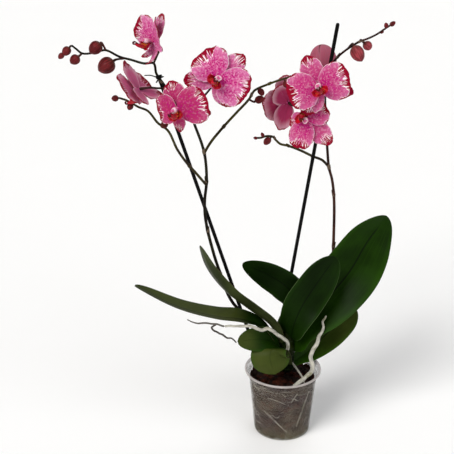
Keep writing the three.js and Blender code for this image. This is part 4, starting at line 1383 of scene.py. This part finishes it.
def make_clip(skin):
    """The clip's band goes round the stake and the spike, with a long prong and two short ears."""
    middle = Vector(CLIP["middle"]) * MM
    half, reach, height, thick = 0.0037, 0.0054, 0.0048, 0.0011
    tilt = Matrix.Rotation(-0.3, 3, "Y") @ Matrix.Rotation(-0.25, 3, "X")
    sides = 48
    section = [(0, -0.5), (0.7, -0.5), (1, -0.35), (1, 0.35), (0.7, 0.5), (0, 0.5)]
    vertices, coordinates = [], []
    for step in range(sides):
        angle = 2 * math.pi * step / sides
        waist = 1 - 0.22 * math.cos(angle) ** 8
        centre = Vector((half * math.cos(angle) * waist, (half + reach) * math.sin(angle), 0))
        outward = Vector((math.cos(angle), 0.6 * math.sin(angle), 0)).normalized()
        for out, up in section:
            vertices.append(middle + tilt @ (centre + outward * (thick * out) + Vector((0, 0, up * height))))
            coordinates.append((step / sides, out + up))
    size = len(section)
    last = (sides - 1) * size
    closing = [(last + a, last + (a + 1) % size, (a + 1) % size, a) for a in range(size)]
    shape = Shape()
    shape.add(vertices, grid_faces(sides, size, closed=True) + closing, coordinates)
    add_tube(shape, Curve(CLIP["prong"]).spaced(0.001), lambda share: 0.0009 - 0.0002 * share, 12)
    for ear in CLIP["ears"]:
        add_tube(shape, Curve(ear).spaced(0.0008), lambda share: 0.0010, 12)
    settle(shape.piece("stem_clip_band", [skin]), "clip", "stem_clip")


# ---------------------------------------------------------------- flowers

def add_lobe(shape, length, width, angle, lean, curl, cross, wave, waves, tip, square, rise, start,
             blotches, phase, tone, widen=1.0):
    """One petal or sepal in the flower's own frame, in metres: x right, y up, z forward.

    It is a fan of lines from its foot to its rim. Its surface coordinate is the place round
    the rim and the share of the way out to it.
    """
    spokes, rings = 84, 22
    curl_angle = math.radians(curl)
    lean_angle = math.radians(lean)
    direction = Matrix.Rotation(math.radians(angle), 3, "Z")
    width *= widen

    def rim_angle(column):
        return 2 * math.pi * (column / (spokes - 1) - 0.5) * 0.97

    def place(ring, column):
        outward = 0.05 + 0.95 * (ring / (rings - 1)) ** 0.9
        round_rim = rim_angle(column)
        c, s = math.cos(round_rim), math.sin(round_rim)
        ragged = 1 + 0.036 * noise.noise(Vector((c * 3.1, s * 3.1, phase)))
        ragged += 0.015 * noise.noise(Vector((c * 14, s * 14, phase + 7)))
        ragged += 0.008 * noise.noise(Vector((c * 30, s * 30, phase + 3)))
        point_out = tip * math.exp(-((round_rim / 0.5) ** 2))
        a = outward * length * (0.5 + 0.5 * c + point_out) * ragged
        b = outward * 0.5 * width * math.copysign(abs(s) ** square, s) * (1 + 0.10 * c) * ragged
        turn = lean_angle + curl_angle * (a / length)
        x = length / curl_angle * (math.sin(turn) - math.sin(lean_angle))
        z = -length / curl_angle * (math.cos(turn) - math.cos(lean_angle))
        ripple = wave * MM * outward**3 * (
            math.sin(waves * round_rim + phase) + 0.5 * math.sin(2.3 * waves * round_rim + 2 * phase)
        )
        dip = 0.0006 * math.exp(-((b / 0.0016) ** 2)) * (1 - outward)
        lift = cross * 0.5 * width * (b / (0.5 * width)) ** 2 + ripple - dip
        local = Vector((start * MM + x - math.sin(turn) * lift, b, z + math.cos(turn) * lift))
        return (
            direction @ local + Vector((0, 0, rise * MM)),
            (round_rim / (2 * math.pi) + 0.5 + round(phase), outward),
        )

    def blotch(column):
        heading = math.degrees(rim_angle(column))
        return max(
            depth * (1 - smoothstep(0.35, 1.0, abs(heading - at) / half)) for at, half, depth in blotches
        )

    depths = [blotch(column) for column in range(spokes)]
    add_grid(shape, rings, spokes, place, flip=True, tone=tone, blotches=depths * rings)


def add_hub(shape, radius, back, front, outward):
    """The small disc that joins the lobes at their feet."""
    profile = [
        (0.0, back), (radius * 0.55, back), (radius * 0.85, back + 0.0006), (radius, (back + front) / 2),
        (radius * 0.85, front - 0.0002), (radius * 0.5, front), (0.0, front),
    ]
    before = len(shape.coordinates)
    add_lathe(shape, profile, 24)
    shape.coordinates[before:] = [(0.5, outward)] * (len(shape.coordinates) - before)


def thicken(piece, thickness, back_slot=1):
    """Gives a sheet its thickness. Its back takes the material that many slots on."""
    solid = piece.modifiers.new("thickness", "SOLIDIFY")
    solid.thickness = thickness
    solid.offset = -1
    solid.material_offset = back_slot
    return piece


def add_middle_lobe(shape):
    """The lip's middle lobe, which is shaped like a boat."""
    keel = Curve([(0, -5, 4.5), (0, -9, 9), (0, -11.5, 15), (0, -10.5, 21), (0, -7, 26), (0, -4.5, 28)])
    rows, columns = 30, 19

    def place(row, column):
        u, v = row / (rows - 1), centred(column, columns)
        upward = keel.tangent(u).cross(Vector((1, 0, 0)))
        half = (2.4 + 4.6 * math.sin(math.pi * min(1.0, 0.12 + 0.82 * u)) ** 1.1) * MM
        half *= 1 - 0.5 * smoothstep(0.82, 1.0, u)
        boat = half * (0.95 + 0.12 * math.sin(11 * u + 2 * v)) * v * v
        vertex = keel.at(u) + Vector((half * v * (1 - 0.18 * v * v), 0, 0)) + upward * boat
        return vertex, (2.5 + 0.5 * v, 0.35 + 0.65 * u)

    add_grid(shape, rows, columns, place)


def add_side_lobe(shape, sign):
    """One of the lip's two side lobes, which close round the column: the right one where sign is 1."""
    rows, columns = 18, 23

    def place(row, column):
        u, w = row / (rows - 1), centred(column, columns)
        frill = 0.9 * u**3 * math.sin(9 * w + sign)
        reach = (3.5 + 11.5 * u) * (1 - 0.20 * w * w)
        angle = math.radians(-52 - 36 * w)
        rise = 5 + 11 * u - 2 * u * u + 2.0 * u * max(0.0, -w) ** 2 + frill
        vertex = Vector((sign * reach * math.cos(angle), reach * math.sin(angle) - 0.5, rise)) * MM
        return vertex, (0.5 + 0.5 * w, u)

    add_grid(shape, rows, columns, place, flip=sign < 0)


def add_tendril(shape, sign):
    """One of the two curled threads at the end of the middle lobe."""
    route = []
    for step in range(40):
        share = step / 39
        swing = 0.3 + 4.6 * share
        ring = 3.3 * (1 - 0.35 * share)
        upward = -5.6 + ring * (1 - math.cos(swing)) - 0.8 * share
        route.append(Vector((sign * (0.7 + 2.8 * share), upward, 26.6 + ring * math.sin(swing))) * MM)
    add_tube(shape, route, lambda share: 0.0010 - 0.0006 * share, 10)


def add_column(shape):
    """The column, with its side wings and the cap at its end."""
    route = Curve([(0, 0, 0.5), (0, 0.6, 4), (0, 0.6, 8), (0, 0, 12), (0, -1.0, 15.6)]).spaced(0.0005)

    def thickness(share):
        return (2.8 + 1.9 * smoothstep(0.30, 0.70, share) - 0.7 * smoothstep(0.85, 1.0, share)) * MM

    def wings(share, angle):
        flare = smoothstep(0.4, 0.7, share) * (1 - smoothstep(0.82, 0.95, share))
        flat = 0.08 * smoothstep(0.3, 0.6, share)
        return 1 + 0.16 * flare * math.cos(angle) ** 8 - flat * math.sin(angle) ** 2

    add_tube(shape, route, thickness, 28, squash=wings)
    for sign in (1, -1):
        cap = Curve([(sign * 1.2, 2.4, 13.0), (sign * 1.3, 1.2, 15.6), (sign * 0.9, -0.8, 17.0)])
        add_tube(shape, cap.spaced(0.0004), lambda share: (1.7 - 0.5 * share) * MM, 16)


def flower_matrix(flower):
    """From the flower's own frame to the plant's."""
    forward = Vector(flower["faces"]).normalized()
    top = Vector(flower["top"])
    top = (top - forward * top.dot(forward)).normalized()
    turn = Matrix((top.cross(forward), top, forward)).transposed().to_4x4()
    return Matrix.Translation(Vector(flower["centre"]) * MM) @ turn @ Matrix.Scale(flower["size"], 4)


def placed(piece, matrix):
    piece.data.transform(matrix)
    return piece


def make_whorl(name, kind, number, flower, size, skins, matrix):
    """A flower's petals or sepals, joined at a hub. size is their usual length and width, and thickness."""
    length, width, thickness = size
    shape = Shape()
    for index, ((group, side), lobe) in enumerate(LOBES.items()):
        if group != kind:
            continue
        own = dict(flower[kind].get(side, {}))
        own_length = own.pop("length", length / MM) * MM
        own_width = own.pop("width", width / MM) * MM
        traits = {**lobe, **own, "phase": number * 5 + index, "tone": flower.get("depth", 0.5)}
        share = flower.get("red", 1.0)
        traits["blotches"] = [(at, half, depth * share) for at, half, depth in traits["blotches"]]
        add_lobe(shape, own_length, own_width, **traits)
    rise = LOBES[(kind, "right")]["rise"] * MM
    add_hub(shape, 0.0042, rise - 0.0014, rise + 0.0006, 0.05)
    piece = placed(shape.piece(f"{name}_{kind}_skin", skins[kind]), matrix)
    settle(thicken(piece, thickness * flower["size"]), kind[:-1], f"{name}_{kind}")


def make_lip(name, skins, matrix):
    lip, callus, column = Shape(), Shape(), Shape()
    add_middle_lobe(lip)
    for sign in (1, -1):
        add_side_lobe(lip, sign)
    for sign in (1, -1):
        add_tendril(lip, sign)
    saddle = Curve([(0, -7.4, 8), (0, -6.4, 10), (0, -6.8, 12.5), (0, -8.8, 14.5)])
    add_tube(callus, saddle.spaced(0.0006), lambda share: 0.0016 - 0.0005 * share, 18)
    add_column(column)
    piece = placed(lip.piece(f"{name}_lip_skin", [skins["lip"]]), matrix)
    settle(thicken(piece, 0.0007, back_slot=0), "lip", f"{name}_lip")
    settle(placed(callus.piece(f"{name}_callus", [skins["callus"]]), matrix), "lip")
    settle(placed(column.piece(f"{name}_column", [skins["column"]]), matrix), "lip")


def make_flower(number, flower, settings, stalk_radius, skins):
    name = f"flower_{number}"
    matrix = flower_matrix(flower)
    petal = (settings.petal_length, settings.petal_width, settings.thickness)
    sepal = (settings.sepal_length, settings.sepal_width, settings.thickness * 1.3)
    make_whorl(name, "petals", number, flower, petal, skins, matrix)
    make_whorl(name, "sepals", number, flower, sepal, skins, matrix)
    foot = Matrix.Translation((0, 0, 0.002))
    matrix = matrix @ foot @ Matrix.Scale(flower.get("lip", 1.0), 4, (0, 0, 1)) @ foot.inverted()
    make_lip(name, skins, matrix)
    neck = matrix @ Vector((0, 0, -0.003))
    make_tube(
        f"{name}_stalk", skins["stalk"], "stem", Curve([neck / MM, *flower["stalk"]]).spaced(0.0015),
        lambda share: stalk_radius * (1.5 - 0.5 * smoothstep(0, 0.3, share)), 16,
    )


def flower_skins(flowers):
    pale, crimson, back = flowers.pale, flowers.crimson, flowers.back
    face = (flowers.heart, flowers.lilac, pale, crimson, flowers.deep)
    pale_back = blend(back, pale, 0.4)
    reverse = (back, shade(back, 0.7), pale_back, pale_back, crimson, DEEP_BACK, 0.0, 0.45)
    return {
        "petals": [
            bloom_finish("petal_face", flowers.pink, *face, 1.0, hem=0.002),
            bloom_finish("petal_back", *reverse, outer=0.75),
        ],
        "sepals": [
            bloom_finish("sepal_face", shade(flowers.pink, 0.92), *face, 0.4),
            bloom_finish("sepal_back", *reverse, outer=0.75),
        ],
        "lip": lip_finish(flowers),
        "callus": callus_finish(flowers),
        "column": column_finish(flowers),
        "stalk": stem_finish("stalk_skin", (0.075, 0.026, 0.024), (0.022, 0.010, 0.008)),
    }


# ---------------------------------------------------------------- buds

def add_bud(shape, centre, length, width, direction):
    """A closed bud: three sepals pressed edge to edge, with a groove where they meet."""
    rows, sides, keels = 26, 48, 0.15
    along, side, other = square_axes(direction)

    def place(row, corner):
        share = 0.002 + 0.996 * row / (rows - 1)
        polar = math.pi * share
        angle = 2 * math.pi * corner / sides
        egg = math.sin(polar) * (1 + 0.12 * math.cos(polar))
        ridge = 1 - 0.40 * keels * math.cos(3 * angle)
        groove = keels * 0.60 * math.exp(-((math.sin(1.5 * angle) / 0.10) ** 2)) * math.sin(polar)
        reach = 0.5 * width * egg * (ridge - groove)
        rise = -0.5 * length * math.cos(polar) * (1 + 0.06 * smoothstep(0.88, 1.0, share))
        return centre + spoke(side, other, angle) * reach + along * rise, (corner / sides, share)

    add_grid(shape, rows, sides, place, closed=True)


def make_buds(flowers, stalk_radius, stalk_skin):
    skin = bud_finish("bud_skin", flowers.bud, (0.035, 0.026, 0.010))
    red_skin = bud_finish("red_bud_skin", flowers.red_bud, (0.090, 0.040, 0.020))
    for node, (centre, (length, width), stalk) in BUDS.items():
        middle = Vector(centre) * MM
        direction = middle - Vector(stalk[0]) * MM
        body = Shape()
        add_bud(body, middle, length * MM, width * MM, direction)
        settle(body.piece(f"{node}_body", [red_skin if "right" in node else skin]), "bud", node)
        foot = (middle - direction.normalized() * (0.42 * length * MM)) / MM
        make_tube(
            f"{node}_stalk", stalk_skin, "stem", Curve([foot, *stalk]).spaced(0.001),
            lambda share: stalk_radius * (1.35 - 0.35 * smoothstep(0, 0.5, share)), 14,
        )
    tips = Shape()
    for centre, (length, width), direction in TIP_BUDS:
        add_bud(tips, Vector(centre) * MM, length * MM, width * MM, Vector(direction))
    settle(tips.piece("tip_buds", [skin]), "bud")


def add_cup(shape, number, centre, axes):
    """A cupped part of the opening flower. Numbers 0 to 2 are sepals, 3 and 4 the petals inside them."""
    along, side, other = axes
    inner = number >= 3
    heading = 2 * math.pi * (number / 3 if not inner else (number - 3) / 2) + 0.5 + 0.6 * inner
    scale = 0.90 if inner else 1.0
    spread = math.radians(74 if inner else 68)
    rows, columns = 24, 21

    def place(row, column):
        share, v = row / (rows - 1), centred(column, columns)
        polar = math.pi * (0.06 + 0.90 * share)
        body = math.sin(polar) ** 0.9 * (1 + 0.08 * math.cos(polar))
        keel = 0.05 * math.exp(-((v / 0.10) ** 2)) - 0.05 * v * v + 0.02 * number / 5
        out = spoke(side, other, heading + v * (spread * (1 - 0.35 * share**3)))
        reach = 0.0187 * scale * body * (1 + keel)
        vertex = centre + out * reach + along * (-0.020 * scale * math.cos(polar))
        return vertex, (0.5 + 0.25 * v, 0.1 + 0.85 * max(share, abs(v) ** 3))

    add_grid(shape, rows, columns, place, flip=True)


def make_half_open(stalk_radius, stalk_skin):
    """The opening flower: cupped sepals that still overlap over the petals inside."""
    centre = Vector(HALF_OPEN["centre"]) * MM
    axes = square_axes(Vector(HALF_OPEN["top"]))
    cups = Shape()
    for number in range(5):
        add_cup(cups, number, centre, axes)
    skin = bloom_finish("opening_bud_skin", **OPENING_COLOURS, dots=0.0, red_share=0.3)
    piece = cups.piece("half_open_flower_sepals", [skin, skin])
    settle(thicken(piece, 0.0010), "half_open", "half_open_flower")
    foot = (centre - axes[0] * 0.018) / MM
    make_tube(
        "half_open_flower_stalk", stalk_skin, "stem", Curve([foot, *HALF_OPEN["stalk"]]).spaced(0.001),
        lambda share: stalk_radius * (1.6 - 0.6 * share), 14,
    )


# ---------------------------------------------------------------- stage

def add_sun(name, direction, strength, spread, colour):
    """A broad soft light from a direction, spread over an angle in degrees."""
    light = bpy.data.lights.new(name, "SUN")
    light.energy = strength
    light.angle = math.radians(spread)
    light.color = colour
    lamp = link_object(name, light)
    lamp.location = direction
    lamp.rotation_euler = Vector(direction).to_track_quat("Z", "Y").to_euler()


def add_room(scene):
    """A studio with white walls and a dim ceiling."""
    world = bpy.data.worlds.new("studio")
    world.use_nodes = True
    tree = world.node_tree
    where = tree.nodes.new("ShaderNodeTexCoord")
    apart = tree.nodes.new("ShaderNodeSeparateXYZ")
    ceiling = tree.nodes.new("ShaderNodeMapRange")
    ceiling.interpolation_type = "SMOOTHSTEP"
    for socket, value in (("From Min", 0.15), ("From Max", 0.55), ("To Min", 0.65), ("To Max", 0.12)):
        ceiling.inputs[socket].default_value = value
    tree.links.new(where.outputs["Generated"], apart.inputs[0])
    tree.links.new(apart.outputs[2], ceiling.inputs["Value"])
    tree.links.new(ceiling.outputs[0], tree.nodes["Background"].inputs["Strength"])
    tree.nodes["Background"].inputs["Color"].default_value = (1.0, 1.0, 1.0, 1.0)
    scene.world = world
    scene.view_settings.view_transform = "Standard"


def make_stage(stage):
    scene = bpy.context.scene
    floor = Shape()
    ends = ((-1, -1), (1, -1), (1, 1), (-1, 1))
    corners = [Vector((x * FLOOR_HALF, y * FLOOR_HALF, 0.0)) for x, y in ends]
    floor.add(corners, [(0, 1, 2, 3)], [(0, 0), (1, 0), (1, 1), (0, 1)])
    floor.piece("studio_floor", [floor_finish(stage)])
    add_room(scene)
    for name, settings in LIGHTS.items():
        add_sun(name, *settings)
    lens = bpy.data.cameras.new("photo_camera")
    lens.lens = stage.lens
    lens.sensor_width = 36.0
    camera = link_object("photo_camera", lens)
    camera.location = stage.eye
    camera.rotation_euler = (stage.pitch, 0.0, 0.0)
    scene.camera = camera


# ---------------------------------------------------------------- operators

class ORCHID_OT_stage(Operator):
    """Add the floor, the lights and the camera"""

    bl_idname = "orchid.stage"
    bl_label = "Stage"

    def execute(self, context):
        make_stage(context.scene.orchid.stage)
        return {"FINISHED"}


class ORCHID_OT_pot(Operator):
    """Add the clear plastic pot"""

    bl_idname = "orchid.pot"
    bl_label = "Pot"

    def execute(self, context):
        make_pot(context.scene.orchid.pot)
        return {"FINISHED"}


class ORCHID_OT_bark(Operator):
    """Fill the pot with chunks of bark"""

    bl_idname = "orchid.bark"
    bl_label = "Bark"

    def execute(self, context):
        make_bark(context.scene.orchid.pot)
        return {"FINISHED"}


class ORCHID_OT_roots(Operator):
    """Add the roots inside the wall and the aerial roots"""

    bl_idname = "orchid.roots"
    bl_label = "Roots"

    def execute(self, context):
        orchid = context.scene.orchid
        make_roots(orchid.pot, orchid.stems)
        return {"FINISHED"}


class ORCHID_OT_leaves(Operator):
    """Add the leaves and the crown that they clasp"""

    bl_idname = "orchid.leaves"
    bl_label = "Leaves"

    def execute(self, context):
        make_leaves(context.scene.orchid.leaves)
        return {"FINISHED"}


class ORCHID_OT_stems(Operator):
    """Add the flower spikes and their branches, the stakes and the clip"""

    bl_idname = "orchid.stems"
    bl_label = "Stems and stakes"

    def execute(self, context):
        stems = context.scene.orchid.stems
        black = black_finish()
        make_stakes(stems, black)
        make_stems(stems)
        make_clip(black)
        return {"FINISHED"}


class ORCHID_OT_flowers(Operator):
    """Add the open flowers, the opening one and the buds"""

    bl_idname = "orchid.flowers"
    bl_label = "Flowers and buds"

    def execute(self, context):
        flowers = context.scene.orchid.flowers
        stalk_radius = context.scene.orchid.stems.stalk_radius
        skins = flower_skins(flowers)
        for number, flower in enumerate(FLOWERS, start=1):
            make_flower(number, flower, flowers, stalk_radius, skins)
        make_half_open(stalk_radius, skins["stalk"])
        make_buds(flowers, stalk_radius, skins["stalk"])
        return {"FINISHED"}


OPERATORS = (
    ORCHID_OT_stage, ORCHID_OT_pot, ORCHID_OT_bark, ORCHID_OT_roots, ORCHID_OT_leaves, ORCHID_OT_stems,
    ORCHID_OT_flowers,
)


class ORCHID_PT_sidebar(Panel):
    bl_label = "Orchid"
    bl_idname = "ORCHID_PT_sidebar"
    bl_space_type = "VIEW_3D"
    bl_region_type = "UI"
    bl_category = "Orchid"

    def draw(self, context):
        layout = self.layout
        orchid = context.scene.orchid
        for operator in OPERATORS:
            layout.operator(operator.bl_idname)
        for group in (orchid.pot, orchid.leaves, orchid.stems, orchid.flowers, orchid.stage):
            box = layout.box()
            for name in group.__annotations__:
                box.prop(group, name)


CLASSES = (
    PotSettings, LeafSettings, StemSettings, FlowerSettings, StageSettings, OrchidSettings,
    *OPERATORS, ORCHID_PT_sidebar,
)


def register():
    for kind in CLASSES:
        bpy.utils.register_class(kind)
    bpy.types.Scene.orchid = PointerProperty(type=OrchidSettings)


def unregister():
    del bpy.types.Scene.orchid
    for kind in reversed(CLASSES):
        bpy.utils.unregister_class(kind)


def main():
    register()
    bpy.ops.orchid.stage()
    bpy.ops.orchid.pot()
    bpy.ops.orchid.bark()
    bpy.ops.orchid.roots()
    bpy.ops.orchid.leaves()
    bpy.ops.orchid.stems()
    bpy.ops.orchid.flowers()


if __name__ == "__main__":
    main()
